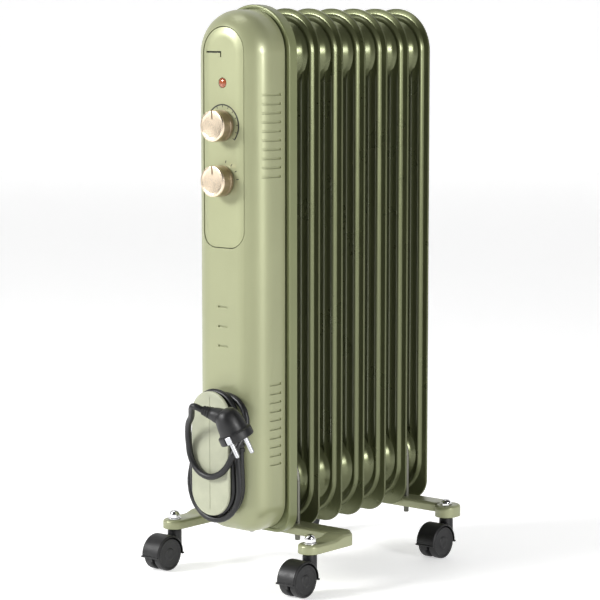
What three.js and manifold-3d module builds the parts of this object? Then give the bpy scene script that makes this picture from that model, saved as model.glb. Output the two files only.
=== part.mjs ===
// Oil filled radiator heater: seven steel fins on two header tubes, a control box at the front
// end with two knobs and a cord winder, and two feet on swivel casters.
// Millimetres. +Z is up, the control panel faces -Y, the fins stack towards +Y.
// While it is designed, the floor is Z = 0 and the first fin's middle is Y = 0. At the end the
// whole group shifts along Y, which puts the middle of the heater's box on the origin.
import * as THREE from "three";
import { mergeVertices } from "three/addons/utils/BufferGeometryUtils.js";
import Module from "manifold-3d";

const wasm = await Module();
wasm.setup();

// ---------------------------------------------------------------- driving dimensions
const GAP = 0.3; // clearance between pieces that touch
const FIN_ARC_STEPS = 4; // facets in a quarter of a fin's outline
const HUB_SIDES = 12;
const SPIGOT_CLEARANCE = 0.8; // a plug's spigot in a header's bore

// Fins
const FIN_COUNT = 7;
const FIN_PITCH = 40;
const FIN_WIDTH = 98;
const FIN_HEIGHT = 580;
const FIN_LIFT = 51; // fin bottom above the floor
const FIN_RIM_THICKNESS = 2.6;
const FIN_RIM_MARGIN = 6.5; // welded seam between the fin's edge and its oil channel
const FIN_CHANNEL_THICKNESS = 12;
const FIN_WALL = 1.2;
const FIN_FOOT_RADIUS = 26;

// Headers: the round hubs that join the fins, above and below
const HUB_RADIUS = 31;
const HUB_FACE_RADIUS = 25;
const HUB_BORE = 14;
const LOWER_HUB_LIFT = 56; // lower header's axis above the fin bottom
const PLUG_CAP = 4; // how far a header plug's cap stands out
const END_BOSS = 15; // hub face of an end fin from the fin's middle

// Control box
const TRAY_OVERHANG = 4; // the rear tray's edge beyond the fin's
const TRAY_FRONT = 16; // tray plate in front of the first fin's middle
const TRAY_BACK = 3;
const TRAY_WALL = 1.5;
const TRAY_LIFT = 3; // tray bottom above the fin bottom
const TRAY_FOOT_RADIUS = 22;
const BOX_WIDTH = 95;
const BOX_FRONT = 66; // box front face from the first fin's middle
const BOX_LIFT = 6; // box bottom above the fin bottom
const BOX_EDGE = 30; // rounding from the front face to the sides
const BOX_FOOT_RADIUS = 34;
const BOX_WALL = 2;

// Control panel, heights above the floor
const PANEL_WIDTH = 57;
const PANEL_BOTTOM = 373;
const PANEL_TOP = 611;
const PANEL_CORNER = 18;
const PANEL_SINK = 0.8;
const PANEL_THICKNESS = 2.6;
const PANEL_JOINT = 0.5;
const GRIP_SLOT_HEIGHT = 583;
const GRIP_SLOT = 1.8;
const LAMP_HEIGHT = 551;
const LAMP_RADIUS = 5.2;
const THERMOSTAT_HEIGHT = 505;
const POWER_HEIGHT = 445.5;
const KNOB_RADIUS = 17;
const KNOB_DEPTH = 17;
const KNOB_STAND = 1; // knob's back above the panel
const SPINDLE_RADIUS = 3;
const SWITCH_BODY = 30; // side of a switch body
const SWITCH_DEPTH = 18;

// Louvres in the box's sides
const LOUVRE_PITCH = 9.8;
const LOUVRE_COUNT = 10;
const LOUVRE_HEIGHT = 2.6;
const UPPER_LOUVRE_BASE = 449;
const UPPER_LOUVRE_LENGTH = 27;
const LOWER_LOUVRE_BASE = 134;
const LOWER_LOUVRE_LENGTH = 18;
const LOUVRE_BACK = 24; // rear end of each louvre in front of the first fin's middle

// Cord winder
const WINDER_HEIGHT = 137;
const WINDER_WIDTH = 54;
const WINDER_MIDDLE = 149;
const WINDER_STAND = 18;
const WINDER_PLATE = 4;
const NECK_WIDTH = 38;
const NECK_HEIGHT = 112;

// Cord, plug and strain relief
const CORD_DIAMETER = 7;
const COIL_INNER = 25.5; // half width of the winding's inside
const COIL_OUTER = 41.8;
const COIL_TOP = 33; // outer radius of the winding over the neck
const COIL_RISE = 36; // half of the winding's straight stretch
const COIL_DEPTH = 17;
const RELIEF_LENGTH = 28;
const RELIEF_RADIUS = 6;
const RELIEF_TIP_RADIUS = 4.4;
const RELIEF_X = 30;
const RELIEF_TOP = 180;
const RELIEF_Y = -71;
const RELIEF_STEM_RADIUS = 4.5;
const PLUG_X = 55.8; // middle of the plug's face
const PLUG_Z = 173.4;
const PLUG_RADIUS = 19;
const PLUG_COLLAR = 9;
const PLUG_DEPTH = 36;
const PIN_LENGTH = 19;
const PIN_RADIUS = 2.4;
const PIN_SPREAD = 9.5; // each pin from the plug's axis
const CLIP_WIDTH = 7;

// Feet
const FOOT_SHEET = 1.6;
const FOOT_RIM = 10; // depth of the foot's turned-down rim
const BAR_CLEARANCE = 0.7; // between the bar and the fins on both sides of it
const FRONT_BAR_HALF = 104;
const REAR_BAR_HALF = 91;
const BAR_TOP_LIFT = 8; // bar top above the fin bottom
const EAR_TOP_LIFT = 4;
const EAR_RADIUS = 13;
const BOLT_X = 100;
const FRONT_BOLT_Y = -38;
const REAR_BOLT_Y = 210;
const U_BOLT_RADIUS = 3;
const STUD_DROP = 13; // how far a stud's end hangs below the bar
const NUT_HEIGHT = 10;
const NUT_RADIUS = 6;

// Casters
const WHEEL_RADIUS = 18.5;
const WHEEL_WIDTH = 9.6;
const WEB_THICKNESS = 4.4; // the housing's middle wall, between the wheels
const HOOD_RADIUS = 21.6;
const HOOD_SHEET = 2;
const CASTER_TRAIL = 20;
const AXLE_RADIUS = 2.6;
const STEM_RADIUS = 4;
const CASTER_BOSS_RADIUS = 8;

// ---------------------------------------------------------------- places worked out from them
const FIN_TOP = FIN_LIFT + FIN_HEIGHT;
const ARCH_CENTRE = FIN_TOP - FIN_WIDTH / 2;
const UPPER_HUB = ARCH_CENTRE;
const LOWER_HUB = FIN_LIFT + LOWER_HUB_LIFT;
const LAST_FIN_Y = (FIN_COUNT - 1) * FIN_PITCH;
const BAR_WIDTH = FIN_PITCH - FIN_CHANNEL_THICKNESS - 2 * BAR_CLEARANCE;
const FRONT_BAR_Y = FIN_PITCH / 2;
const REAR_BAR_Y = LAST_FIN_Y - FIN_PITCH / 2;
const BAR_TOP = FIN_LIFT + BAR_TOP_LIFT;
const EAR_TOP = FIN_LIFT + EAR_TOP_LIFT;
const BOX_BACK_Y = -TRAY_FRONT - GAP;
const BOX_FRONT_Y = -BOX_FRONT;
const PANEL_FRONT_Y = BOX_FRONT_Y + PANEL_SINK;
const PANEL_BACK_Y = PANEL_FRONT_Y + PANEL_THICKNESS;
const KNOB_BACK_Y = PANEL_FRONT_Y - KNOB_STAND;
const WINDER_FRONT_Y = BOX_FRONT_Y - GAP - WINDER_STAND - WINDER_PLATE;
const COIL_FRONT_Y = WINDER_FRONT_Y + WINDER_PLATE + GAP;
const WHEEL_SPREAD = WEB_THICKNESS / 2 + GAP;
const REAR_END_Y = LAST_FIN_Y + END_BOSS + GAP + PLUG_CAP;
const MIDDLE_Y = (WINDER_FRONT_Y + REAR_END_Y) / 2;

// ---------------------------------------------------------------- materials
const paint = (color, roughness, metalness) =>
  new THREE.MeshStandardMaterial({ color, roughness, metalness });
const SAGE = paint(0xa5a889, 0.42, 0.25);
const SAGE_PLASTIC = paint(0xc6c7ae, 0.45, 0);
const BRONZE = paint(0xcfae8c, 0.3, 0.85);
const STEEL = paint(0xb9bbbd, 0.35, 0.9);
const CHROME = paint(0xdedede, 0.12, 1);
const BRASS = paint(0xb89a52, 0.35, 0.9);
const BLACK_PLASTIC = paint(0x1d1d1e, 0.5, 0);
const BLACK_CORD = paint(0x17171a, 0.6, 0);
const AMBER = paint(0xd2562c, 0.2, 0);
const CREAM = paint(0xd8d2bf, 0.6, 0);

// ---------------------------------------------------------------- solids
// A closed three.js geometry as a solid, turned outwards if its faces point in.
function solid(geometry) {
  const bare = geometry.index ? geometry.toNonIndexed() : geometry.clone();
  bare.deleteAttribute("normal");
  bare.deleteAttribute("uv");
  const merged = mergeVertices(bare, 1e-3);
  const vertices = merged.attributes.position.array;
  const corners = [];
  let volume = 0;
  const a = new THREE.Vector3();
  const b = new THREE.Vector3();
  const c = new THREE.Vector3();
  for (let i = 0; i < merged.index.count; i += 3) {
    const [p, q, r] = merged.index.array.slice(i, i + 3);
    if (p === q || q === r || r === p) continue;
    corners.push(p, q, r);
    a.fromArray(vertices, 3 * p);
    b.fromArray(vertices, 3 * q);
    c.fromArray(vertices, 3 * r);
    volume += a.dot(b.cross(c));
  }
  const triVerts = new Uint32Array(volume < 0 ? corners.reverse() : corners);
  return new wasm.Manifold(new wasm.Mesh({ numProp: 3, vertProperties: vertices, triVerts }));
}

const join = (...pieces) => pieces.reduce((whole, piece) => whole.add(piece));
const cut = (whole, ...tools) => tools.reduce((rest, tool) => rest.subtract(tool), whole);

// A box between two corners.
function block(low, high) {
  const [x, y, z] = low.map((value, i) => high[i] - value);
  const centre = low.map((value, i) => (value + high[i]) / 2);
  return solid(new THREE.BoxGeometry(x, y, z).translate(...centre));
}

// An outline in X and Z, made solid between two depths along Y.
function slab(outline, y0, y1, steps = 12) {
  const depth = y1 - y0;
  const options = { depth, bevelEnabled: false, curveSegments: steps };
  return solid(new THREE.ExtrudeGeometry(outline, options).rotateX(Math.PI / 2).translate(0, y1, 0));
}

// An outline in X and Y, made solid between two heights along Z.
function plate(outline, z0, z1, steps = 8) {
  const options = { depth: z1 - z0, bevelEnabled: false, curveSegments: steps };
  return solid(new THREE.ExtrudeGeometry(outline, options).translate(0, 0, z0));
}

// A turned piece. The profile lists [radius, station] pairs and starts and ends on the axis.
function turned(profile, axis, at, sides = 24) {
  const points = profile.map(([radius, station]) => new THREE.Vector2(radius, station));
  const geometry = new THREE.LatheGeometry(points, sides);
  if (axis === "x") geometry.rotateZ(-Math.PI / 2);
  if (axis === "z") geometry.rotateX(Math.PI / 2);
  return solid(geometry.translate(...at));
}

// A plain round rod between two stations along an axis through a point.
const rod = (radius, from, to, axis, at, sides = 20) =>
  turned([[0, from], [radius, from], [radius, to], [0, to]], axis, at, sides);

// A tall outline: arched or rounded at the top and rounded at the foot.
function arch(halfWidth, bottom, top, topRadius, footRadius) {
  const outline = new THREE.Shape();
  outline.moveTo(halfWidth - footRadius, bottom);
  outline.absarc(halfWidth - footRadius, bottom + footRadius, footRadius, -Math.PI / 2, 0);
  outline.absarc(halfWidth - topRadius, top - topRadius, topRadius, 0, Math.PI / 2);
  outline.absarc(topRadius - halfWidth, top - topRadius, topRadius, Math.PI / 2, Math.PI);
  outline.absarc(footRadius - halfWidth, bottom + footRadius, footRadius, Math.PI, Math.PI * 1.5);
  outline.closePath();
  return outline;
}

const root = new THREE.Group();
root.position.y = -MIDDLE_Y;

// Adds one solid to a group as a named mesh.
function piece(name, shape, material, group = root) {
  const source = shape.getMesh();
  const geometry = new THREE.BufferGeometry();
  geometry.setAttribute("position", new THREE.BufferAttribute(source.vertProperties, 3));
  geometry.setIndex(new THREE.BufferAttribute(source.triVerts, 1));
  geometry.computeVertexNormals();
  const mesh = new THREE.Mesh(geometry, material);
  mesh.name = name;
  group.add(mesh);
  return mesh;
}

// ---------------------------------------------------------------- fins and headers
// A fin is two pressed sheets: a welded rim round a hollow oil channel, with a hub at each end.
function fin(frontFace, backFace) {
  const half = FIN_WIDTH / 2;
  const channelHalf = half - FIN_RIM_MARGIN;
  const bottom = FIN_LIFT + FIN_RIM_MARGIN;
  const top = FIN_TOP - FIN_RIM_MARGIN;
  const rim = arch(half, FIN_LIFT, FIN_TOP, half, FIN_FOOT_RADIUS);
  const channel = arch(channelHalf, bottom, top, channelHalf, channelHalf);
  const inside = channelHalf - FIN_WALL;
  const hollow = arch(inside, bottom + FIN_WALL, top - FIN_WALL, inside, inside);
  const skin = FIN_CHANNEL_THICKNESS / 2;
  const seam = FIN_RIM_THICKNESS / 2;
  const hub = [
    [0, -frontFace],
    [HUB_FACE_RADIUS, -frontFace],
    [HUB_RADIUS, -skin],
    [HUB_RADIUS, skin],
    [HUB_FACE_RADIUS, backFace],
    [0, backFace],
  ];
  const heights = [LOWER_HUB, UPPER_HUB];
  const body = join(
    slab(rim, -seam, seam, FIN_ARC_STEPS),
    slab(channel, -skin, skin, FIN_ARC_STEPS),
    ...heights.map((z) => turned(hub, "y", [0, 0, z], HUB_SIDES)),
  );
  const bores = heights.map((z) =>
    rod(HUB_BORE, -frontFace - 1, backFace + 1, "y", [0, 0, z], HUB_SIDES),
  );
  return cut(body, slab(hollow, FIN_WALL - skin, skin - FIN_WALL, FIN_ARC_STEPS - 1), ...bores);
}

for (let i = 0; i < FIN_COUNT; i += 1) {
  const joint = (FIN_PITCH - GAP) / 2;
  const first = i === 0;
  const last = i === FIN_COUNT - 1;
  const shape = fin(first ? TRAY_FRONT - TRAY_WALL - GAP : joint, last ? END_BOSS : joint);
  piece(`fin_${i + 1}`, shape, SAGE).position.y = i * FIN_PITCH;
}

// A plug that closes a header: a cap outside the hub and a spigot in its bore.
function headerPlug(height, y, side) {
  const profile = [
    [0, -10],
    [HUB_BORE - SPIGOT_CLEARANCE, -10],
    [HUB_BORE - SPIGOT_CLEARANCE, GAP],
    [HUB_BORE + 4, GAP],
    [HUB_BORE + 4, PLUG_CAP + GAP],
    [0, PLUG_CAP + GAP],
  ];
  const along = profile.map(([radius, station]) => [radius, side * station]);
  return turned(along, "y", [0, y, height], 24);
}
piece("upper_header_plug", headerPlug(UPPER_HUB, LAST_FIN_Y + END_BOSS, 1), STEEL);
piece("lower_header_plug", headerPlug(LOWER_HUB, LAST_FIN_Y + END_BOSS, 1), STEEL);

// The heating element: a hairpin of sheathed tube inside the lower header, on a brass flange
// that fills the header's front bore.
const ELEMENT_RADIUS = 3.4;
const ELEMENT_HALF = 6;
const FLANGE_FRONT_Y = GAP - TRAY_FRONT - 10;
const ELEMENT_START_Y = -8;
const ELEMENT_END_Y = LAST_FIN_Y - FIN_PITCH / 4;

function heatingElement() {
  const path = new THREE.CurvePath();
  const corner = (side, y) => new THREE.Vector3(side * ELEMENT_HALF, y, LOWER_HUB);
  const bend = ELEMENT_END_Y - ELEMENT_HALF;
  const turn = [];
  for (let i = 0; i <= 8; i += 1) {
    const angle = (Math.PI * i) / 8;
    const x = -ELEMENT_HALF * Math.cos(angle);
    turn.push(new THREE.Vector3(x, bend + ELEMENT_HALF * Math.sin(angle), LOWER_HUB));
  }
  path.add(new THREE.LineCurve3(corner(-1, ELEMENT_START_Y), corner(-1, bend)));
  for (let i = 0; i < 8; i += 1) path.add(new THREE.LineCurve3(turn[i], turn[i + 1]));
  path.add(new THREE.LineCurve3(corner(1, bend), corner(1, ELEMENT_START_Y)));
  const legs = [-1, 1].map((side) =>
    rod(ELEMENT_RADIUS, ELEMENT_START_Y, bend, "y", [side * ELEMENT_HALF, 0, LOWER_HUB], 10),
  );
  const bow = new THREE.CatmullRomCurve3(turn);
  const section = new THREE.Shape().absarc(0, 0, ELEMENT_RADIUS, 0, Math.PI * 2);
  const options = { extrudePath: bow, steps: 12, curveSegments: 5, bevelEnabled: false };
  return join(solid(new THREE.ExtrudeGeometry(section, options)), ...legs);
}
piece("heating_element", heatingElement(), STEEL);

const flangeProfile = [
  [0, FLANGE_FRONT_Y],
  [HUB_BORE + 3, FLANGE_FRONT_Y],
  [HUB_BORE + 3, -TRAY_FRONT - GAP],
  [HUB_BORE - SPIGOT_CLEARANCE, -TRAY_FRONT - GAP],
  [HUB_BORE - SPIGOT_CLEARANCE, ELEMENT_START_Y - GAP],
  [0, ELEMENT_START_Y - GAP],
];
piece("element_flange", turned(flangeProfile, "y", [0, 0, LOWER_HUB], 24), BRASS);

// ---------------------------------------------------------------- control box
// The box's outer form, or the same form smaller all round by an inset.
function boxForm(inset) {
  const half = BOX_WIDTH / 2 - inset;
  const edge = BOX_EDGE - inset;
  const bottom = FIN_LIFT + BOX_LIFT + inset;
  const top = ARCH_CENTRE + half;
  const straight = BOX_FRONT - inset - edge + BOX_BACK_Y;
  const outline = arch(half, bottom, top, half, BOX_FOOT_RADIUS - inset);
  const options = {
    depth: 2 * straight,
    bevelEnabled: true,
    bevelThickness: edge,
    bevelSize: edge,
    bevelOffset: -edge,
    bevelSegments: 3,
    curveSegments: 5,
  };
  const geometry = new THREE.ExtrudeGeometry(outline, options).rotateX(Math.PI / 2);
  const whole = solid(geometry.translate(0, BOX_BACK_Y + straight, 0));
  const far = BOX_FRONT * 2;
  return whole.intersect(block([-far, -far, 0], [far, BOX_BACK_Y, FIN_TOP + far]));
}

const panelPrism = (grow) =>
  slab(
    arch(
      PANEL_WIDTH / 2 + grow,
      PANEL_BOTTOM - grow,
      PANEL_TOP + grow,
      PANEL_WIDTH / 2 + grow,
      PANEL_CORNER + grow,
    ),
    -BOX_FRONT * 2,
    -BOX_FRONT / 2,
    5,
  );

function louvres(base, length) {
  const slots = [];
  for (let i = 0; i < LOUVRE_COUNT; i += 1) {
    const z = base + i * LOUVRE_PITCH;
    const low = [-BOX_WIDTH, -LOUVRE_BACK - length, z];
    slots.push(block(low, [BOX_WIDTH, -LOUVRE_BACK, z + LOUVRE_HEIGHT]));
  }
  return slots;
}

const BOX_BOTTOM = FIN_LIFT + BOX_LIFT;
const RELIEF_STEM_Z = RELIEF_TOP - RELIEF_RADIUS;

function frontShell() {
  // The hollow runs on through the open back.
  const inner = boxForm(BOX_WALL);
  const mouth = slab(
    arch(
      BOX_WIDTH / 2 - BOX_WALL,
      BOX_BOTTOM + BOX_WALL,
      ARCH_CENTRE + BOX_WIDTH / 2 - BOX_WALL,
      BOX_WIDTH / 2 - BOX_WALL,
      BOX_FOOT_RADIUS - BOX_WALL,
    ),
    BOX_BACK_Y - 1,
    BOX_BACK_Y + 1,
    5,
  );
  const relief = rod(
    RELIEF_STEM_RADIUS + GAP,
    -BOX_FRONT - 9,
    9 - BOX_FRONT,
    "y",
    [RELIEF_X, 0, RELIEF_STEM_Z],
    14,
  );
  const slots = [
    ...louvres(UPPER_LOUVRE_BASE, UPPER_LOUVRE_LENGTH),
    ...louvres(LOWER_LOUVRE_BASE, LOWER_LOUVRE_LENGTH),
  ];
  return cut(boxForm(0), inner, mouth, panelPrism(PANEL_JOINT), relief, ...slots);
}
piece("front_shell", frontShell(), SAGE);

// The tray behind the box: a plate with a rim that turns back round the first fin.
function rearTray() {
  const half = FIN_WIDTH / 2 + TRAY_OVERHANG;
  const top = ARCH_CENTRE + half;
  const bottom = FIN_LIFT + TRAY_LIFT;
  const outside = arch(half, bottom, top, half, TRAY_FOOT_RADIUS);
  const wall = TRAY_WALL;
  const inHalf = half - wall;
  const inside = arch(inHalf, bottom + wall, top - wall, inHalf, TRAY_FOOT_RADIUS - wall);
  const bore = rod(HUB_BORE + GAP, -TRAY_FRONT - 1, 0, "y", [0, 0, LOWER_HUB]);
  const upperBore = rod(HUB_BORE + GAP, -TRAY_FRONT - 1, 0, "y", [0, 0, UPPER_HUB]);
  const hollow = slab(inside, wall - TRAY_FRONT, 0, 6);
  return cut(slab(outside, -TRAY_FRONT, -TRAY_BACK, 6), hollow, bore, upperBore);
}
piece("rear_tray", rearTray(), SAGE);

// The upper header's front plug holds the tray against the first fin.
const upperFront = [
  [0, 1 - TRAY_FRONT + 8],
  [HUB_BORE - SPIGOT_CLEARANCE, 1 - TRAY_FRONT + 8],
  [HUB_BORE - SPIGOT_CLEARANCE, -TRAY_FRONT - GAP],
  [HUB_BORE + 4, -TRAY_FRONT - GAP],
  [HUB_BORE + 4, -TRAY_FRONT - GAP - PLUG_CAP],
  [0, -TRAY_FRONT - GAP - PLUG_CAP],
];
piece("tray_header_plug", turned(upperFront, "y", [0, 0, UPPER_HUB], 24), STEEL);

// The panel is a piece of the box's own skin, let into it by PANEL_SINK.
function controlPanel() {
  const skin = cut(boxForm(PANEL_SINK), boxForm(PANEL_SINK + PANEL_THICKNESS));
  const through = [-BOX_FRONT * 2, -BOX_FRONT / 2];
  const holes = [
    rod(SPINDLE_RADIUS + GAP, ...through, "y", [0, 0, THERMOSTAT_HEIGHT]),
    rod(SPINDLE_RADIUS + GAP, ...through, "y", [0, 0, POWER_HEIGHT]),
    rod(LAMP_RADIUS + GAP, ...through, "y", [0, 0, LAMP_HEIGHT]),
  ];
  const slot = block(
    [-PANEL_WIDTH / 2 + 5, through[0], GRIP_SLOT_HEIGHT],
    [-GRIP_SLOT, through[1], GRIP_SLOT_HEIGHT + GRIP_SLOT],
  );
  return cut(skin.intersect(panelPrism(0)), slot, ...holes);
}
piece("control_panel", controlPanel(), SAGE);

// A knob with a bevelled face and a pointer groove, on a spindle from its switch.
function knob(height) {
  const face = KNOB_BACK_Y - KNOB_DEPTH;
  const bevel = 1.2;
  const socket = 9;
  const profile = [
    [0, face],
    [KNOB_RADIUS - bevel, face],
    [KNOB_RADIUS, face + bevel],
    [KNOB_RADIUS, KNOB_BACK_Y],
    [0, KNOB_BACK_Y],
  ];
  const body = turned(profile, "y", [0, 0, height], 28);
  const pointer = block(
    [-0.8, face - 1, height + KNOB_RADIUS * 0.28],
    [0.8, face + 0.8, height + KNOB_RADIUS * 0.92],
  );
  const hole = rod(SPINDLE_RADIUS + GAP, KNOB_BACK_Y - socket, KNOB_BACK_Y + 1, "y", [0, 0, height]);
  return cut(body, pointer, hole);
}

function switchSet(name, height, bodyName) {
  const bodyFront = PANEL_BACK_Y + GAP;
  piece(`${name}_knob`, knob(height), BRONZE);
  const spindleEnds = [KNOB_BACK_Y - 8, bodyFront + SWITCH_DEPTH / 2];
  piece(`${name}_spindle`, rod(SPINDLE_RADIUS, ...spindleEnds, "y", [0, 0, height], 16), STEEL);
  const half = SWITCH_BODY / 2;
  const casing = block(
    [-half, bodyFront, height - half],
    [half, bodyFront + SWITCH_DEPTH, height + half],
  );
  const bearing = rod(
    SPINDLE_RADIUS + GAP,
    bodyFront - 1,
    bodyFront + SWITCH_DEPTH / 2 + GAP,
    "y",
    [0, 0, height],
  );
  piece(bodyName, cut(casing, bearing), CREAM);
}
switchSet("thermostat", THERMOSTAT_HEIGHT, "thermostat_body");
switchSet("power", POWER_HEIGHT, "power_switch_body");

const lampProfile = [
  [0, -1.6],
  [LAMP_RADIUS * 0.7, -1.1],
  [LAMP_RADIUS, 0],
  [LAMP_RADIUS, 16],
  [0, 16],
];
piece("pilot_lamp", turned(lampProfile, "y", [0, PANEL_FRONT_Y, LAMP_HEIGHT], 20), AMBER);

// Safety and wiring pieces on the tray, inside the box.
const trayFace = -TRAY_FRONT - GAP;
const onTray = (x, z, width, height, depth) =>
  block([x - width / 2, trayFace - depth, z - height / 2], [x + width / 2, trayFace, z + height / 2]);
piece("terminal_block", onTray(0, 205, 44, 16, 14), CREAM);
piece("tilt_switch", onTray(-22, 160, 18, 34, 20), BLACK_PLASTIC);
const cutoutFace = rod(8, -8, 0, "y", [20, trayFace - 4, 165], 20);
piece("thermal_cutout", join(onTray(20, 165, 24, 12, 4.5), cutoutFace), STEEL);

// ---------------------------------------------------------------- cord winder
// An upright oval with straight sides, round at both ends.
const oval = (width, height) =>
  arch(width / 2, WINDER_MIDDLE - height / 2, WINDER_MIDDLE + height / 2, width / 2, width / 2);

function cordWinder() {
  const plateBack = WINDER_FRONT_Y + WINDER_PLATE;
  const seat = BOX_FRONT_Y - GAP;
  const hole = rod(2.3, WINDER_FRONT_Y + 2, seat + 1, "y", [0, 0, WINDER_MIDDLE], 12);
  const head = rod(4.8, WINDER_FRONT_Y - 1, WINDER_FRONT_Y + 3, "y", [0, 0, WINDER_MIDDLE], 16);
  const body = join(
    slab(oval(WINDER_WIDTH, WINDER_HEIGHT), WINDER_FRONT_Y, plateBack, 8),
    slab(oval(NECK_WIDTH, NECK_HEIGHT), plateBack - 1, seat, 6),
  );
  // The seat follows the box's rounded edges.
  return cut(body, hole, head, boxForm(-GAP));
}
piece("cord_winder", cordWinder(), SAGE_PLASTIC);
const screwProfile = [
  [0, 0.6],
  [4.4, 0.6],
  [4.4, 2.6],
  [2, 2.6],
  [2, WINDER_STAND + 3],
  [0, WINDER_STAND + 3],
];
piece("winder_screw", turned(screwProfile, "y", [0, WINDER_FRONT_Y, WINDER_MIDDLE], 14), STEEL);

// ---------------------------------------------------------------- cord and plug
// The strain relief: a stem through the box's front and a tapered sleeve that points down.
function strainRelief() {
  const sleeve = [
    [0, -RELIEF_LENGTH],
    [RELIEF_TIP_RADIUS, -RELIEF_LENGTH],
    [RELIEF_RADIUS, 0],
    [RELIEF_RADIUS - 2, 2],
    [0, 2],
  ];
  const inside = 14; // how far the stem reaches into the box
  const stem = rod(
    RELIEF_STEM_RADIUS,
    RELIEF_Y,
    RELIEF_Y + inside,
    "y",
    [RELIEF_X, 0, RELIEF_STEM_Z],
    14,
  );
  return join(turned(sleeve, "z", [RELIEF_X, RELIEF_Y, RELIEF_TOP], 16), stem);
}
piece("strain_relief", strainRelief(), BLACK_CORD);

// The winding's outer shape: a ring round the winder's neck, wider at the foot where it hangs.
function cordWinding() {
  const low = WINDER_MIDDLE - COIL_RISE;
  const high = WINDER_MIDDLE + COIL_RISE;
  const outline = new THREE.Shape();
  outline.absarc(0, low, COIL_OUTER, Math.PI, Math.PI * 2);
  outline.absarc(0, high, COIL_TOP, 0, Math.PI);
  outline.closePath();
  const inside = arch(COIL_INNER, low - COIL_INNER, high + COIL_INNER, COIL_INNER, COIL_INNER);
  const back = COIL_FRONT_Y + COIL_DEPTH;
  const outer = slab(outline, COIL_FRONT_Y, back, 6);
  const inner = slab(inside, COIL_FRONT_Y - 1, back + 1, 6);
  const reach = RELIEF_RADIUS + 1;
  const notch = block(
    [RELIEF_X - reach, RELIEF_Y - reach + 0.6, RELIEF_TOP - RELIEF_LENGTH],
    [RELIEF_X + COIL_OUTER, back + 1, RELIEF_TOP + 3],
  );
  return cut(outer, inner, notch, boxForm(-GAP));
}
piece("cord_winding", cordWinding(), BLACK_CORD);

// The plug hangs beside the winder. Its own frame starts at the middle of its face: the pins
// point along -Z and stand apart along Y.
const PLUG_FACE = [PLUG_X, -105, PLUG_Z];
const plug = new THREE.Group();
plug.position.set(...PLUG_FACE);
const pinsPoint = new THREE.Vector3(0.314, 0.278, -0.908).normalize();
const pinsApart = new THREE.Vector3(0.885, 0.164, 0.42);
pinsApart.addScaledVector(pinsPoint, -pinsApart.dot(pinsPoint)).normalize();
const plugUp = pinsPoint.clone().negate();
const plugSide = pinsApart.clone().cross(plugUp);
plug.quaternion.setFromRotationMatrix(new THREE.Matrix4().makeBasis(plugSide, pinsApart, plugUp));
root.add(plug);

// The cord's handle leaves the plug's back on the slant.
const HANDLE_START = 24; // behind the face
const HANDLE_LENGTH = 31;
const handleLocal = new THREE.Vector3(0, -0.786, 0.617).normalize();
const handleWay = handleLocal.clone().applyQuaternion(plug.quaternion);
const handleEnd = plugUp
  .clone()
  .multiplyScalar(HANDLE_START)
  .addScaledVector(handleWay, HANDLE_LENGTH)
  .add(plug.position);

// The free stretch: over the winding's edge, round in front of the plate and into the plug.
const CORD_TAIL = [
  [39.8, -88, 163],
  [36.5, -91.2, 153.5],
  [32.5, -92.4, 144],
  [26.6, -92.5, 136],
  [17, -92.5, 128.5],
  [4, -92.5, 124.5],
  [-9, -92.5, 127],
  [-19, -92.5, 135],
  [-25.4, -92.7, 146],
  [-27.6, -94, 159],
  [-26.5, -98, 172],
  [-22, -104, 185.5],
  [-14, -110.5, 196.5],
];
const intoHandle = (away) => handleEnd.clone().addScaledVector(handleWay, away);

function cordTail() {
  const points = CORD_TAIL.map((point) => new THREE.Vector3(...point));
  const path = new THREE.CatmullRomCurve3([...points, intoHandle(12), intoHandle(0.9)]);
  const section = new THREE.Shape().absarc(0, 0, CORD_DIAMETER / 2, 0, Math.PI * 2);
  const options = { extrudePath: path, steps: 26, curveSegments: 4, bevelEnabled: false };
  return solid(new THREE.ExtrudeGeometry(section, options));
}
piece("cord_tail", cordTail(), BLACK_CORD);

// A round moulding with a collar, a notch in the collar for each earth clip, and a handle.
const NOTCH_FLOOR = PLUG_RADIUS - 2.6;
function plugBody() {
  const profile = [
    [0, 0],
    [PLUG_RADIUS, 0],
    [PLUG_RADIUS, PLUG_COLLAR],
    [PLUG_RADIUS - 3, PLUG_COLLAR + 2],
    [PLUG_RADIUS - 5, PLUG_DEPTH - 9],
    [PLUG_RADIUS - 8, PLUG_DEPTH - 3],
    [PLUG_RADIUS - 13, PLUG_DEPTH],
    [0, PLUG_DEPTH],
  ];
  const grip = [
    [0, 4],
    [9, 4],
    [7.5, 18],
    [CORD_DIAMETER / 2 + 1.4, HANDLE_LENGTH],
    [0, HANDLE_LENGTH],
  ];
  const along = new THREE.LatheGeometry(grip.map(([r, z]) => new THREE.Vector2(r, z)), 14);
  const turn = new THREE.Quaternion().setFromUnitVectors(new THREE.Vector3(0, 1, 0), handleLocal);
  along.applyQuaternion(turn).translate(0, 0, HANDLE_START);
  const notches = [-1, 1].map((side) =>
    block(
      [Math.min(side * NOTCH_FLOOR, side * 30), -CLIP_WIDTH / 2 - 1, -1],
      [Math.max(side * NOTCH_FLOOR, side * 30), CLIP_WIDTH / 2 + 1, PLUG_COLLAR + 1],
    ),
  );
  return cut(join(turned(profile, "z", [0, 0, 0], 28), solid(along)), ...notches);
}
piece("plug_body", plugBody(), BLACK_PLASTIC, plug);

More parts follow.
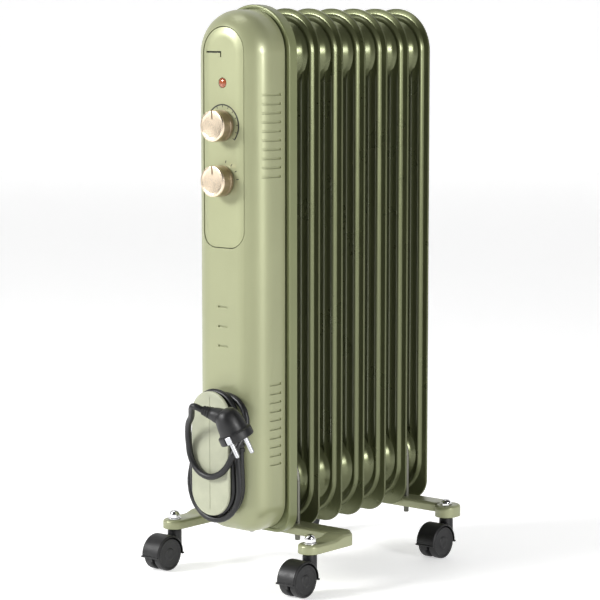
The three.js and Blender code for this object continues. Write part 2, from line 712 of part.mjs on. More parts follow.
for (const [name, side] of [["left", -1], ["right", 1]]) {
  const tip = [
    [0, -GAP - PIN_LENGTH],
    [PIN_RADIUS - 1, -GAP - PIN_LENGTH],
    [PIN_RADIUS, 1 - GAP - PIN_LENGTH],
    [PIN_RADIUS, -GAP],
    [0, -GAP],
  ];
  piece(`plug_${name}_pin`, turned(tip, "z", [0, side * PIN_SPREAD, 0], 16), STEEL, plug);
}
for (const [name, side] of [["front", 1], ["back", -1]]) {
  const faces = [side * (NOTCH_FLOOR + GAP), side * (NOTCH_FLOOR + GAP + 1.2)].sort((a, b) => a - b);
  const low = [faces[0], -CLIP_WIDTH / 2, 0.6];
  piece(`plug_${name}_clip`, block(low, [faces[1], CLIP_WIDTH / 2, PLUG_COLLAR]), STEEL, plug);
}

// ---------------------------------------------------------------- feet
const bar = (half) => arch(half, -BAR_WIDTH / 2, BAR_WIDTH / 2, 8, 8);

// A round-ended arm's outline from the bar's end out to a caster bolt.
function armOutline(side, boltY, barY, grow) {
  const x = side * BOLT_X;
  const radius = EAR_RADIUS - grow;
  const outline = new THREE.Shape();
  const towards = boltY < barY ? -1 : 1;
  outline.moveTo(x - radius, barY);
  outline.lineTo(x - radius, boltY);
  if (towards < 0) outline.absarc(x, boltY, radius, Math.PI, Math.PI * 2);
  else outline.absarc(x, boltY, radius, Math.PI, 0, true);
  outline.lineTo(x + radius, barY);
  outline.closePath();
  return outline;
}

// The foot: a bar across the heater with an arm at each end, all turned down at the edge.
function foot(barY, boltY, barHalf) {
  const shapes = (grow, low) => {
    const barLow = low ? BAR_TOP - FOOT_RIM - 2 : BAR_TOP - FOOT_RIM;
    const earLow = low ? EAR_TOP - FOOT_RIM - 2 : EAR_TOP - FOOT_RIM;
    const cap = grow ? FOOT_SHEET : 0;
    const barShape = new THREE.Shape(
      bar(barHalf - grow)
        .getPoints(4)
        .map((p) => new THREE.Vector2(p.x, barY + p.y * (1 - (2 * grow) / BAR_WIDTH))),
    );
    const arms = [-1, 1].map((side) =>
      plate(armOutline(side, boltY, barY, grow), earLow, EAR_TOP - cap, 5),
    );
    return join(plate(barShape, barLow, BAR_TOP - cap), ...arms);
  };
  const bolts = [-1, 1].map((side) =>
    rod(STEM_RADIUS + GAP, -30, 30, "z", [side * BOLT_X, boltY, EAR_TOP], 12),
  );
  const studs = [-1, 1].map((side) =>
    rod(U_BOLT_RADIUS + GAP, -30, 30, "z", [side * (HUB_RADIUS + U_BOLT_RADIUS), barY, BAR_TOP], 12),
  );
  return cut(shapes(0, false), shapes(FOOT_SHEET, true), ...bolts, ...studs);
}
piece("front_foot", foot(FRONT_BAR_Y, FRONT_BOLT_Y, FRONT_BAR_HALF), SAGE);
piece("rear_foot", foot(REAR_BAR_Y, REAR_BOLT_Y, REAR_BAR_HALF), SAGE);

// A U-bolt over the lower header, with a wing nut under the bar on each leg.
function uBolt(y) {
  const reach = HUB_RADIUS + U_BOLT_RADIUS;
  const steps = 12;
  const bow = [];
  for (let i = 0; i <= steps; i += 1) {
    const angle = (Math.PI * i) / steps;
    bow.push(new THREE.Vector3(-reach * Math.cos(angle), y, LOWER_HUB + reach * Math.sin(angle)));
  }
  const section = new THREE.Shape().absarc(0, 0, U_BOLT_RADIUS, 0, Math.PI * 2);
  const options = {
    extrudePath: new THREE.CatmullRomCurve3(bow),
    steps: 12,
    curveSegments: 4,
    bevelEnabled: false,
  };
  const low = BAR_TOP - STUD_DROP - LOWER_HUB - 6;
  const legs = [-1, 1].map((side) =>
    rod(U_BOLT_RADIUS, low, 0, "z", [side * reach, y, LOWER_HUB], 8),
  );
  return join(solid(new THREE.ExtrudeGeometry(section, options)), ...legs);
}

function wingNut(x, y) {
  const top = BAR_TOP - FOOT_SHEET - GAP;
  const barrel = rod(6, -7, 0, "z", [x, y, top], 16);
  const wings = block([x - 12, y - 1.2, top - 9], [x + 12, y + 1.2, top - 2]);
  const bore = rod(U_BOLT_RADIUS + GAP, -20, 10, "z", [x, y, top], 12);
  return cut(join(barrel, wings), bore);
}

for (const [end, y] of [["front", FRONT_BAR_Y], ["rear", REAR_BAR_Y]]) {
  piece(`${end}_u_bolt`, uBolt(y), STEEL);
  for (const [side, sign] of [["left", -1], ["right", 1]]) {
    const nut = wingNut(sign * (HUB_RADIUS + U_BOLT_RADIUS), y);
    piece(`${end}_${side}_wing_nut`, nut, STEEL);
  }
}

// ---------------------------------------------------------------- casters
function housing() {
  const centre = [0, -CASTER_TRAIL, WHEEL_RADIUS];
  const halfWidth = WHEEL_SPREAD + WHEEL_WIDTH + GAP;
  const drum = (radius, half) => rod(radius, -half, half, "x", centre, 20);
  const lower = block([-50, -CASTER_TRAIL - 50, -50], [50, 50 - CASTER_TRAIL, WHEEL_RADIUS - 1]);
  const hood = cut(drum(HOOD_RADIUS, halfWidth), drum(HOOD_RADIUS - HOOD_SHEET, halfWidth + 1), lower);
  const under = block([-50, -CASTER_TRAIL - 50, -50], [50, 50 - CASTER_TRAIL, WHEEL_RADIUS - 7]);
  const web = cut(drum(HOOD_RADIUS - 0.5, WEB_THICKNESS / 2), under);
  const bossTop = EAR_TOP - FOOT_RIM - 1;
  const boss = rod(CASTER_BOSS_RADIUS, WHEEL_RADIUS, bossTop, "z", [0, 0, 0], 12);
  const clear = drum(HOOD_RADIUS - HOOD_SHEET, halfWidth + 20);
  const keep = drum(HOOD_RADIUS - 0.5, WEB_THICKNESS / 2);
  const neck = join(cut(boss, clear), boss.intersect(keep));
  const stemHole = rod(STEM_RADIUS + GAP, WHEEL_RADIUS + 8, bossTop + 1, "z", [0, 0, 0], 12);
  return cut(join(hood, web, neck), drum(AXLE_RADIUS + GAP, halfWidth + 1), stemHole);
}

function wheelset() {
  const inner = WHEEL_SPREAD;
  const outer = WHEEL_SPREAD + WHEEL_WIDTH;
  const chamfer = 1.2;
  const half = [
    [AXLE_RADIUS, inner],
    [WHEEL_RADIUS - chamfer, inner],
    [WHEEL_RADIUS, inner + chamfer],
    [WHEEL_RADIUS, outer - chamfer],
    [WHEEL_RADIUS - chamfer, outer],
    [0, outer],
  ];
  const mirrored = half.map(([radius, station]) => [radius, -station]).reverse();
  return turned([...mirrored, ...half], "x", [0, -CASTER_TRAIL, WHEEL_RADIUS], 20);
}

function domeNut() {
  const base = EAR_TOP + GAP;
  const profile = [
    [0, 0],
    [NUT_RADIUS + 1.4, 0],
    [NUT_RADIUS + 1.4, 1.2],
    [NUT_RADIUS, 1.2],
    [NUT_RADIUS, 5.4],
    [NUT_RADIUS * 0.84, 7.6],
    [NUT_RADIUS * 0.5, NUT_HEIGHT - 0.6],
    [0, NUT_HEIGHT],
  ];
  const bore = rod(STEM_RADIUS + GAP, -1, 5.6, "z", [0, 0, base], 14);
  return cut(turned(profile, "z", [0, 0, base], 14), bore);
}

const stemTop = EAR_TOP + 5;
const stemProfile = [
  [0, WHEEL_RADIUS + 8 + GAP],
  [STEM_RADIUS, WHEEL_RADIUS + 8 + GAP],
  [STEM_RADIUS, stemTop],
  [0, stemTop],
];

for (const [end, y] of [["front", FRONT_BOLT_Y], ["rear", REAR_BOLT_Y]]) {
  for (const [side, sign] of [["left", -1], ["right", 1]]) {
    const corner = new THREE.Group();
    corner.position.set(sign * BOLT_X, y, 0);
    root.add(corner);
    const name = `${end}_${side}`;
    piece(`${name}_caster_housing`, housing(), BLACK_PLASTIC, corner);
    piece(`${name}_caster_wheels`, wheelset(), BLACK_PLASTIC, corner);
    piece(`${name}_caster_stem`, turned(stemProfile, "z", [0, 0, 0], 14), STEEL, corner);
    piece(`${name}_dome_nut`, domeNut(), CHROME, corner);
  }
}

export default root;
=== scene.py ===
import math

import bmesh
import bpy
from bpy.props import FloatProperty, FloatVectorProperty, PointerProperty
from mathutils import Matrix, Vector


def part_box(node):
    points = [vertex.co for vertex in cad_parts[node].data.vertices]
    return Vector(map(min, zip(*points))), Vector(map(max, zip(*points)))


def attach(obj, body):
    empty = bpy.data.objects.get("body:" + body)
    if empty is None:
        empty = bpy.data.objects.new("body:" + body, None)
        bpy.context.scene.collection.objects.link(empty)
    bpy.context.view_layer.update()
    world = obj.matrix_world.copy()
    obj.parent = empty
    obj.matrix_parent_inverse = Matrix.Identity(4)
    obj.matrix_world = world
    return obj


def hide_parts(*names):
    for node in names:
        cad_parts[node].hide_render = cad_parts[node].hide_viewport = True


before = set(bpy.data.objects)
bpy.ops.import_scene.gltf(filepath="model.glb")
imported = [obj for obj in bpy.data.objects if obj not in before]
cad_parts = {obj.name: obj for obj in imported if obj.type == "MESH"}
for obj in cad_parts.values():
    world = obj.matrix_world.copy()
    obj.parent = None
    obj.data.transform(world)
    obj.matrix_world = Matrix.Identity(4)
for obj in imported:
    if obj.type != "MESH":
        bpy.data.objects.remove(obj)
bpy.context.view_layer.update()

bl_info = {
    "name": "Oil Filled Radiator",
    "version": (1, 0, 0),
    "blender": (4, 5, 0),
    "location": "View3D > Sidebar > Radiator",
    "description": "Builds the visible surfaces of a column radiator around its CAD frame",
    "category": "Object",
}

MM = 0.001
MERGE_SPUN = 1e-6
MERGE_ALL = 2e-7
STAGE_GREY = (0.86, 0.86, 0.86)
WHITE = (1, 1, 1, 1)
CAMERA_TURN = 40
CAMERA_TILT = 83.2
CORNERS = [f"{end}_{side}" for end in ("front", "rear") for side in ("left", "right")]


# ---------------------------------------------------------------- frame measures
def low(node):
    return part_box(node)[0]


def high(node):
    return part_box(node)[1]


def middle(node):
    return (low(node) + high(node)) / 2


FIN_NAMES = sorted(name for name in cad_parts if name.startswith("fin_"))
FIN_PITCH = middle("fin_3").y - middle("fin_2").y
FIRST_FIN_Y = middle("fin_2").y - FIN_PITCH
LOWER_HUB_Z = middle("lower_header_plug").z
UPPER_HUB_Z = middle("upper_header_plug").z
KNOB_Z = middle("thermostat_knob").z
POWER_Z = middle("power_knob").z
LAMP_Z = middle("pilot_lamp").z


# ---------------------------------------------------------------- settings
class RadiatorSettings(bpy.types.PropertyGroup):
    paint: FloatVectorProperty(
        name="Paint", description="Enamel on the fins, box and feet",
        subtype="COLOR", size=3, min=0, max=1, default=(0.34, 0.356, 0.205),
    )
    # This darkens the fins' and tray's copy of the paint: painted shade for the gaps between the
    # fins, on the same enamel as the box.
    fin_painted_shade: FloatProperty(
        name="Fin shade", description="How dark the fins' enamel is beside the box's",
        default=0.4, min=0.05, max=1,
    )
    winder: FloatVectorProperty(
        name="Winder", description="Moulded plastic of the cord winder",
        subtype="COLOR", size=3, min=0, max=1, default=(0.43, 0.445, 0.325),
    )
    bronze: FloatVectorProperty(
        name="Bronze", description="Metallic finish of the knobs",
        subtype="COLOR", size=3, min=0, max=1, default=(0.80, 0.67, 0.51),
    )
    black: FloatVectorProperty(
        name="Black", description="Plastic of the casters and plug",
        subtype="COLOR", size=3, min=0, max=1, default=(0.0075, 0.0075, 0.008),
    )
    lamp: FloatVectorProperty(
        name="Lamp", description="Pilot lamp lens",
        subtype="COLOR", size=3, min=0, max=1, default=(0.42, 0.11, 0.045),
    )
    cord_diameter: FloatProperty(
        name="Cord diameter", description="Outside of the mains cord",
        unit="LENGTH", default=0.007, min=0.004, max=0.01,
    )
    paint_grain: FloatProperty(
        name="Paint grain", description="Strength of the enamel's orange peel",
        default=0.05, min=0, max=1,
    )
    floor_size: FloatProperty(
        name="Floor size", description="Side of the floor", unit="LENGTH", default=30.0, min=2,
    )
    key_power: FloatProperty(
        name="Key light", description="Power of the main softbox",
        unit="POWER", default=95.0, min=0,
    )
    stage_glow: FloatProperty(
        name="Stage glow", description="Light that the floor and backdrop give", default=0.5, min=0,
    )
    sky: FloatProperty(
        name="Sky", description="Strength of the even light all round", default=0.05, min=0,
    )


def settings():
    return bpy.context.scene.radiator


# ---------------------------------------------------------------- materials
def finish(name, colour, roughness, metallic=0.0):
    material = bpy.data.materials.new(name)
    material.use_nodes = True
    shader = material.node_tree.nodes["Principled BSDF"]
    shader.inputs["Base Color"].default_value = (*colour, 1)
    shader.inputs["Roughness"].default_value = roughness
    shader.inputs["Metallic"].default_value = metallic
    return material, material.node_tree, shader


def add_node(tree, kind, **values):
    made = tree.nodes.new(kind)
    for key, value in values.items():
        made.inputs[key].default_value = value
    return made


def mapped(tree, scale=(1, 1, 1), location=(0, 0, 0)):
    place = tree.nodes.new("ShaderNodeTexCoord")
    mapping = add_node(tree, "ShaderNodeMapping", Scale=scale, Location=location)
    tree.links.new(place.outputs["Object"], mapping.inputs["Vector"])
    return mapping.outputs["Vector"]


def noise(tree, vector, scale, detail=3.0):
    texture = add_node(tree, "ShaderNodeTexNoise", Scale=scale, Detail=detail)
    tree.links.new(vector, texture.inputs["Vector"])
    return texture.outputs["Fac"]


def ramp(tree, source, stops):
    made = tree.nodes.new("ShaderNodeValToRGB")
    for index, (place, value) in enumerate(stops):
        element = made.color_ramp.elements[index]
        element.position = place
        element.color = (*value, 1) if isinstance(value, tuple) else (value, value, value, 1)
    tree.links.new(source, made.inputs["Fac"])
    return made.outputs["Color"]


def bump(tree, shader, source, strength, distance):
    made = add_node(tree, "ShaderNodeBump", Strength=strength, Distance=distance)
    tree.links.new(source, made.inputs["Height"])
    tree.links.new(made.outputs["Normal"], shader.inputs["Normal"])


def vary(tree, shader, colour, source, amount):
    darker = tuple(c * (1 - amount) for c in colour)
    lighter = tuple(min(1, c * (1 + amount)) for c in colour)
    shade = ramp(tree, source, [(0.3, darker), (0.7, lighter)])
    tree.links.new(shade, shader.inputs["Base Color"])


def wear_roughness(tree, shader, vector, scale, least, most):
    rough = ramp(tree, noise(tree, vector, scale, 5.0), [(0.3, least), (0.75, most)])
    tree.links.new(rough, shader.inputs["Roughness"])


def enamel(name, colour, roughness=0.38, metallic=0.3):
    material, tree, shader = finish(name, colour, roughness)
    vector = mapped(tree)
    vary(tree, shader, colour, noise(tree, vector, 9.0), 0.035)
    wear_roughness(tree, shader, vector, 26.0, roughness - 0.05, roughness + 0.07)
    bump(tree, shader, noise(tree, vector, 1400.0, 2.0), settings().paint_grain, 0.0004)
    shader.inputs["Metallic"].default_value = metallic
    shader.inputs["Coat Weight"].default_value = 0.22
    shader.inputs["Coat Roughness"].default_value = 0.16
    return material


def moulded(name, colour, roughness=0.45, grain=0.16):
    material, tree, shader = finish(name, colour, roughness)
    vector = mapped(tree)
    vary(tree, shader, colour, noise(tree, vector, 60.0), 0.07)
    wear_roughness(tree, shader, vector, 120.0, roughness - 0.08, roughness + 0.1)
    bump(tree, shader, noise(tree, vector, 2600.0, 3.0), grain, 0.0002)
    return material


def machined(name, colour, roughness, streak=(60, 60, 2200), grain=0.08):
    material, tree, shader = finish(name, colour, roughness, 1.0)
    vector = mapped(tree, streak)
    source = noise(tree, vector, 1.0, 4.0)
    vary(tree, shader, colour, source, 0.09)
    rough = ramp(tree, source, [(0.3, max(0.04, roughness - 0.07)), (0.7, roughness + 0.1)])
    tree.links.new(rough, shader.inputs["Roughness"])
    bump(tree, shader, source, grain, 0.0002)
    return material


def spun_bronze(name, colour, centre):
    """Turned metal: fine rings about an axis along Y through the centre."""
    material, tree, shader = finish(name, colour, 0.3, 1.0)
    vector = mapped(tree, location=(-centre.x, 0, -centre.z))
    rings = add_node(tree, "ShaderNodeTexWave", Scale=620.0, Distortion=3.0, Detail=3.0)
    rings.wave_type = "RINGS"
    rings.rings_direction = "Y"
    tree.links.new(vector, rings.inputs["Vector"])
    vary(tree, shader, colour, rings.outputs["Fac"], 0.1)
    rough = ramp(tree, rings.outputs["Fac"], [(0.2, 0.22), (0.8, 0.36)])
    tree.links.new(rough, shader.inputs["Roughness"])
    bump(tree, shader, rings.outputs["Fac"], 0.12, 0.0001)
    return material


def lens(name, colour):
    material, tree, shader = finish(name, colour, 0.12)
    vector = mapped(tree)
    vary(tree, shader, colour, noise(tree, vector, 700.0), 0.2)
    shader.inputs["Coat Weight"].default_value = 0.8
    shader.inputs["Transmission Weight"].default_value = 0.25
    return material


def with_painted_shade(colour, amount):
    """The same paint laid darker, leaning to olive: painted shade for the gaps between the fins."""
    return (colour[0] * amount * 0.95, colour[1] * amount, colour[2] * amount * 0.82)


made_materials = {}


def material_of(key):
    """Each finish is made once, when a piece first asks for it."""
    if key not in made_materials:
        look = settings()
        makers = {
            "paint": lambda: enamel("sage_enamel", look.paint),
            # Fins and tray: the paint laid darker, as painted shade for the gaps between the fins.
            "fin": lambda: enamel("fin_enamel_painted_shade", with_painted_shade(look.paint, look.fin_painted_shade), 0.3, 0.6),
            "tray": lambda: enamel("tray_enamel_painted_shade", with_painted_shade(look.paint, look.fin_painted_shade * 1.6)),
            "panel": lambda: enamel("panel_enamel", tuple(c * 1.06 for c in look.paint), 0.42),
            "winder": lambda: moulded("winder_plastic", look.winder, 0.42, 0.1),
            "black": lambda: moulded("black_plastic", look.black),
            "tyre": lambda: moulded("tread_plastic", tuple(c * 1.5 for c in look.black), 0.55),
            "rubber": lambda: moulded("cord_rubber", (0.006, 0.006, 0.007), 0.42, 0.25),
            # The dial ink also darkens the grip slot: print on the dials, painted shade in the
            # slot.
            "ink_and_slot_shade": lambda: moulded("dial_ink_and_slot_shade", (0.02, 0.021, 0.014), 0.5, 0.05),
            "cream": lambda: moulded("switch_plastic", (0.68, 0.64, 0.52)),
            "steel": lambda: machined("zinc_steel", (0.6, 0.61, 0.63), 0.34),
            "chrome": lambda: machined("chrome", (0.86, 0.86, 0.87), 0.1, (300, 300, 300), 0.01),
            "brass": lambda: machined("brass", (0.78, 0.62, 0.3), 0.28),
            # The U-bolts' metal is laid dark and dull: painted shade for their place under the
            # feet.
            "u_bolt_painted_shade": lambda: machined("u_bolt_metal_painted_shade", (0.2, 0.2, 0.17), 0.5),
            # A darker copy of the knob bronze: painted shade for the knobs' rims and notches.
            "bronze_painted_shade": lambda: machined("bronze_painted_shade", (0.4, 0.31, 0.22), 0.35),
            "lamp": lambda: lens("amber_lens", look.lamp),
        }
        made_materials[key] = makers[key]()
    return made_materials[key]


# ---------------------------------------------------------------- mesh tools
def spin(bm, profile, axis, centre, sides=48):
    """A turned shell. The profile lists (radius, station) and starts and ends on the axis."""
    along = Vector(axis)
    side = Vector((0, 0, 1)) if axis != (0, 0, 1) else Vector((1, 0, 0))
    points = [Vector(centre) + along * s + side * r for r, s in profile]
    verts = [bm.verts.new(point) for point in points]
    edges = [bm.edges.new(pair) for pair in zip(verts, verts[1:])]
    bmesh.ops.spin(
        bm, geom=verts + edges, cent=centre, axis=axis, angle=2 * math.pi,
        steps=sides, use_merge=True,
    )
    bmesh.ops.remove_doubles(bm, verts=bm.verts, dist=MERGE_SPUN)


def closed(bm):
    bmesh.ops.remove_doubles(bm, verts=bm.verts, dist=MERGE_ALL)
    bmesh.ops.recalc_face_normals(bm, faces=bm.faces)


def soften(bm, width, segments=2, angle=40):
    limit = math.radians(angle)
    edges = [e for e in bm.edges if e.is_manifold and e.calc_face_angle(0) > limit]
    bmesh.ops.bevel(
        bm, geom=edges, offset=width, affect="EDGES", segments=segments,
        profile=0.5, material=-1, clamp_overlap=True,
    )


def brick(bm, lo, hi):
    centre = (Vector(lo) + Vector(hi)) / 2
    size = Vector(hi) - Vector(lo)
    place = Matrix.Translation(centre) @ Matrix.Diagonal((*size, 1))
    return bmesh.ops.create_cube(bm, size=1, matrix=place)["verts"]


def place_piece(name, bm, finish_key, body, replaced=(), smooth=35):
    closed(bm)
    mesh = bpy.data.meshes.new(name)
    bm.to_mesh(mesh)
    bm.free()
    made = bpy.data.objects.new(name, mesh)
    bpy.context.collection.objects.link(made)
    return dress(made, finish_key, body, replaced, smooth)


def dress(made, finish_key, body, replaced=(), smooth=35):
    mesh = made.data
    for polygon in mesh.polygons:
        polygon.use_smooth = True
    mesh.set_sharp_from_angle(angle=math.radians(smooth))
    mesh.materials.clear()
    own = isinstance(finish_key, bpy.types.Material)
    mesh.materials.append(finish_key if own else material_of(finish_key))
    even = made.modifiers.new("even_normals", "WEIGHTED_NORMAL")
    even.keep_sharp = True
    even.weight = 100
    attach(made, body)
    if replaced:
        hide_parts(*replaced)
    return made


def cutter(bm):
    closed(bm)
    mesh = bpy.data.meshes.new("cutter")
    bm.to_mesh(mesh)
    bm.free()
    made = bpy.data.objects.new("cutter", mesh)
    bpy.context.collection.objects.link(made)
    return made


def carve(made, tool, operation="DIFFERENCE"):
    """Cuts a piece with a tool object, keeps the result and drops the tool."""
    change = made.modifiers.new("carve", "BOOLEAN")
    change.object = tool
    change.operation = operation
    change.solver = "EXACT"
    bpy.context.view_layer.update()
    graph = bpy.context.evaluated_depsgraph_get()
    result = bpy.data.meshes.new_from_object(made.evaluated_get(graph))
    made.modifiers.clear()
    old = made.data
    made.data = result
    bpy.data.meshes.remove(old)
    bpy.data.objects.remove(tool)
    return made


def repaint(names, finish_key):
    for name in names:
        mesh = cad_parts[name].data
        mesh.materials.clear()
        mesh.materials.append(material_of(finish_key))


def spot(x, y, z):
    """A point given in millimetres: y from the first fin's middle plane, z from the floor."""
    return Vector((x * MM, FIRST_FIN_Y + y * MM, z * MM))


def outline(half, bottom, top, foot, head, steps=12):
    """An upright outline in X and Z, in millimetres: rounded foot corners and rounded top."""
    foot = max(0.3, min(foot, half - 0.2))
    head = min(head, half - 0.2)
    points = []
    for x, z, radius, start in (
        (half - foot, bottom + foot, foot, -90),
        (half - head, top - head, head, 0),
        (head - half, top - head, head, 90),
        (foot - half, bottom + foot, foot, 180),
    ):
        for step in range(steps + 1):
            angle = math.radians(start + 90 * step / steps)
            points.append((x + radius * math.cos(angle), z + radius * math.sin(angle)))
    return points


def ring(bm, points, place):
    return [bm.verts.new(place(*point)) for point in points]


def loft(bm, rings):
    """Joins rings with the same number of corners, and closes the ends."""
    for first, second in zip(rings, rings[1:]):
        count = len(first)
        for i in range(count):
            j = (i + 1) % count
            bm.faces.new((first[i], first[j], second[j], second[i]))
    bm.faces.new(rings[0])
    bm.faces.new(rings[-1])


def upright(bm, stations, steps=12):
    """A closed form from stations (half, bottom, top, foot, head, y) in order along Y."""
    rings = [
        ring(bm, outline(half, bottom, top, foot, head, steps), lambda x, z, y=y: spot(x, y, z))
        for half, bottom, top, foot, head, y in stations
    ]
    loft(bm, rings)


def rounded(half_x, half_y, radius, steps=8):
    points = []
    for sx, sy, start in ((1, 1, 0), (-1, 1, 90), (-1, -1, 180), (1, -1, 270)):
        for step in range(steps + 1):
            angle = math.radians(start + 90 * step / steps)
            points.append((
                sx * (half_x - radius) + radius * math.cos(angle),
                sy * (half_y - radius) + radius * math.sin(angle),
            ))
    return points


def quarter(radius, steps):
    """(inset, rise) pairs of a quarter round that starts on a side wall."""
    angles = [math.pi / 2 * i / steps for i in range(steps + 1)]
    return [(radius * (1 - math.cos(a)), radius * math.sin(a)) for a in angles]


# ---------------------------------------------------------------- fins
FIN = {"half": 49, "bottom": 51, "top": 631, "foot": 26}
# (inset from the edge, half thickness, 1 where the line follows the oil channel)
FIN_SECTION = (
    (0.5, 1.3, 0), (5.2, 1.3, 0), (6.5, 1.9, 1), (7.3, 3.6, 1), (8.2, 5.2, 1), (9.2, 5.9, 1),
    (10.4, 6.0, 1), (11.8, 5.6, 1), (13.0, 4.9, 1), (18.2, 4.7, 1), (19.6, 5.3, 1),
    (21.0, 5.8, 1), (22.4, 5.3, 1), (23.8, 4.7, 1), (30.0, 4.6, 1),
)


def fin_station(inset, y, channel):
    half = FIN["half"] - inset
    foot = half - 0.3 if channel else max(0.5, FIN["foot"] - inset)
    return (half, FIN["bottom"] + inset, FIN["top"] - inset, foot, half, y)


def hub(bm, y, z, reach):
    side = 1 if reach > 0 else -1
    profile = [(0, 3.8), (37, 3.8), (35.4, 5.6), (33, 7.4), (31, 9.4), (27.4, 15.5), (26.2, 17.6)]
    profile += [(25, abs(reach) - 0.6), (24.2, abs(reach)), (0, abs(reach))]
    spin(bm, [(r * MM, side * s * MM) for r, s in profile], (0, 1, 0), spot(0, y, z), 56)


class RADIATOR_OT_fins(bpy.types.Operator):
    """Presses the seven oil fins, with rims, ridges and header hubs"""
    bl_idname = "radiator.fins"
    bl_label = "Fins"

    def execute(self, context):
        pitch = FIN_PITCH / MM
        for index, name in enumerate(FIN_NAMES):
            y = index * pitch
            bm = bmesh.new()
            front = [fin_station(i, y - h, c) for i, h, c in reversed(FIN_SECTION)]
            edge = [fin_station(0, y - 0.8, 0), fin_station(0, y + 0.8, 0)]
            back = [fin_station(i, y + h, c) for i, h, c in FIN_SECTION]
            upright(bm, front + edge + back, 18)
            joint = pitch / 2 - 0.15
            ahead = 13.9 if index == 0 else joint
            behind = 15 if index == len(FIN_NAMES) - 1 else joint
            for z in (LOWER_HUB_Z / MM, UPPER_HUB_Z / MM):
                hub(bm, y, z, -ahead)
                hub(bm, y, z, behind)
            place_piece(f"{name}_pressing", bm, "fin", "heater", (name,), 28)
        repaint(["upper_header_plug", "lower_header_plug", "tray_header_plug"], "steel")
        return {"FINISHED"}


# ---------------------------------------------------------------- control box
BOX = {"half": 47.5, "bottom": 57, "top": 629.5, "foot": 34, "edge": 30, "front": -66}


def box_stations(inset, back):
    half = BOX["half"] - inset
    edge = BOX["edge"] - inset
    front = BOX["front"] + inset
    made = [(half, BOX["bottom"] + inset, BOX["top"] - inset, BOX["foot"] - inset, half, back)]
    for inwards, rise in quarter(edge, 12):
        made.append((
            half - inwards, BOX["bottom"] + inset + inwards, BOX["top"] - inset - inwards,
            BOX["foot"] - inset - inwards, half - inwards, front + edge - rise,
        ))
    return made


def box_solid(inset, back):
    bm = bmesh.new()
    upright(bm, box_stations(inset, back), 16)
    return bm


PANEL_HALF, PANEL_BOTTOM, PANEL_TOP, PANEL_FOOT = 28.5, 373, 611, 18


def panel_tool(grow, deep):
    """The panel's outline grown outwards, as a tool from the front to a depth."""
    bm = bmesh.new()
    half = PANEL_HALF + grow
    shape = (half, PANEL_BOTTOM - grow, PANEL_TOP + grow, PANEL_FOOT + grow, half)
    upright(bm, [(*shape, -90), (*shape, deep)], 16)
    return cutter(bm)


# Louvre blocks on each side are (lowest row, length); slits are in the front.
LOUVRE_BLOCKS = ((449, 27), (134, 18))
LOUVRE_ROWS, LOUVRE_PITCH, LOUVRE_TALL = 10, 9.8, 2.6
SLIT_HEIGHTS = (308, 286.5, 265)
SLOT_DEPTH = 1.7


def slots_tool():
    """Every louvre and slit, as bars that reach a little way into the skin."""
    bm = bmesh.new()
    for base, length in LOUVRE_BLOCKS:
        for row in range(LOUVRE_ROWS):
            z = base + LOUVRE_PITCH * row
            for side in (-1, 1):
                corners = spot(side * 30, -24 - length, z), spot(side * 60, -24, z + LOUVRE_TALL)
                brick(bm, *sorted_box(*corners))
    for z in SLIT_HEIGHTS:
        brick(bm, spot(-7, -80, z - 1.1), spot(7, -50, z + 1.1))
    tool = cutter(bm)
    return carve(tool, cutter(box_solid(SLOT_DEPTH, -10)))


def sorted_box(a, b):
    low_corner = Vector([min(p, q) for p, q in zip(a, b)])
    high_corner = Vector([max(p, q) for p, q in zip(a, b)])
    return low_corner, high_corner


def plain_object(name, bm):
    made = cutter(bm)
    made.name = name
    return made


def ease_edges(made, width, angle=50, segments=2):
    """Rounds the sharp edges that a cut left."""
    bm = bmesh.new()
    bm.from_mesh(made.data)
    bmesh.ops.remove_doubles(bm, verts=bm.verts, dist=1e-6)
    bmesh.ops.dissolve_degenerate(bm, edges=bm.edges, dist=1e-6)
    soften(bm, width, segments, angle)
    bm.to_mesh(made.data)
    bm.free()
    return made


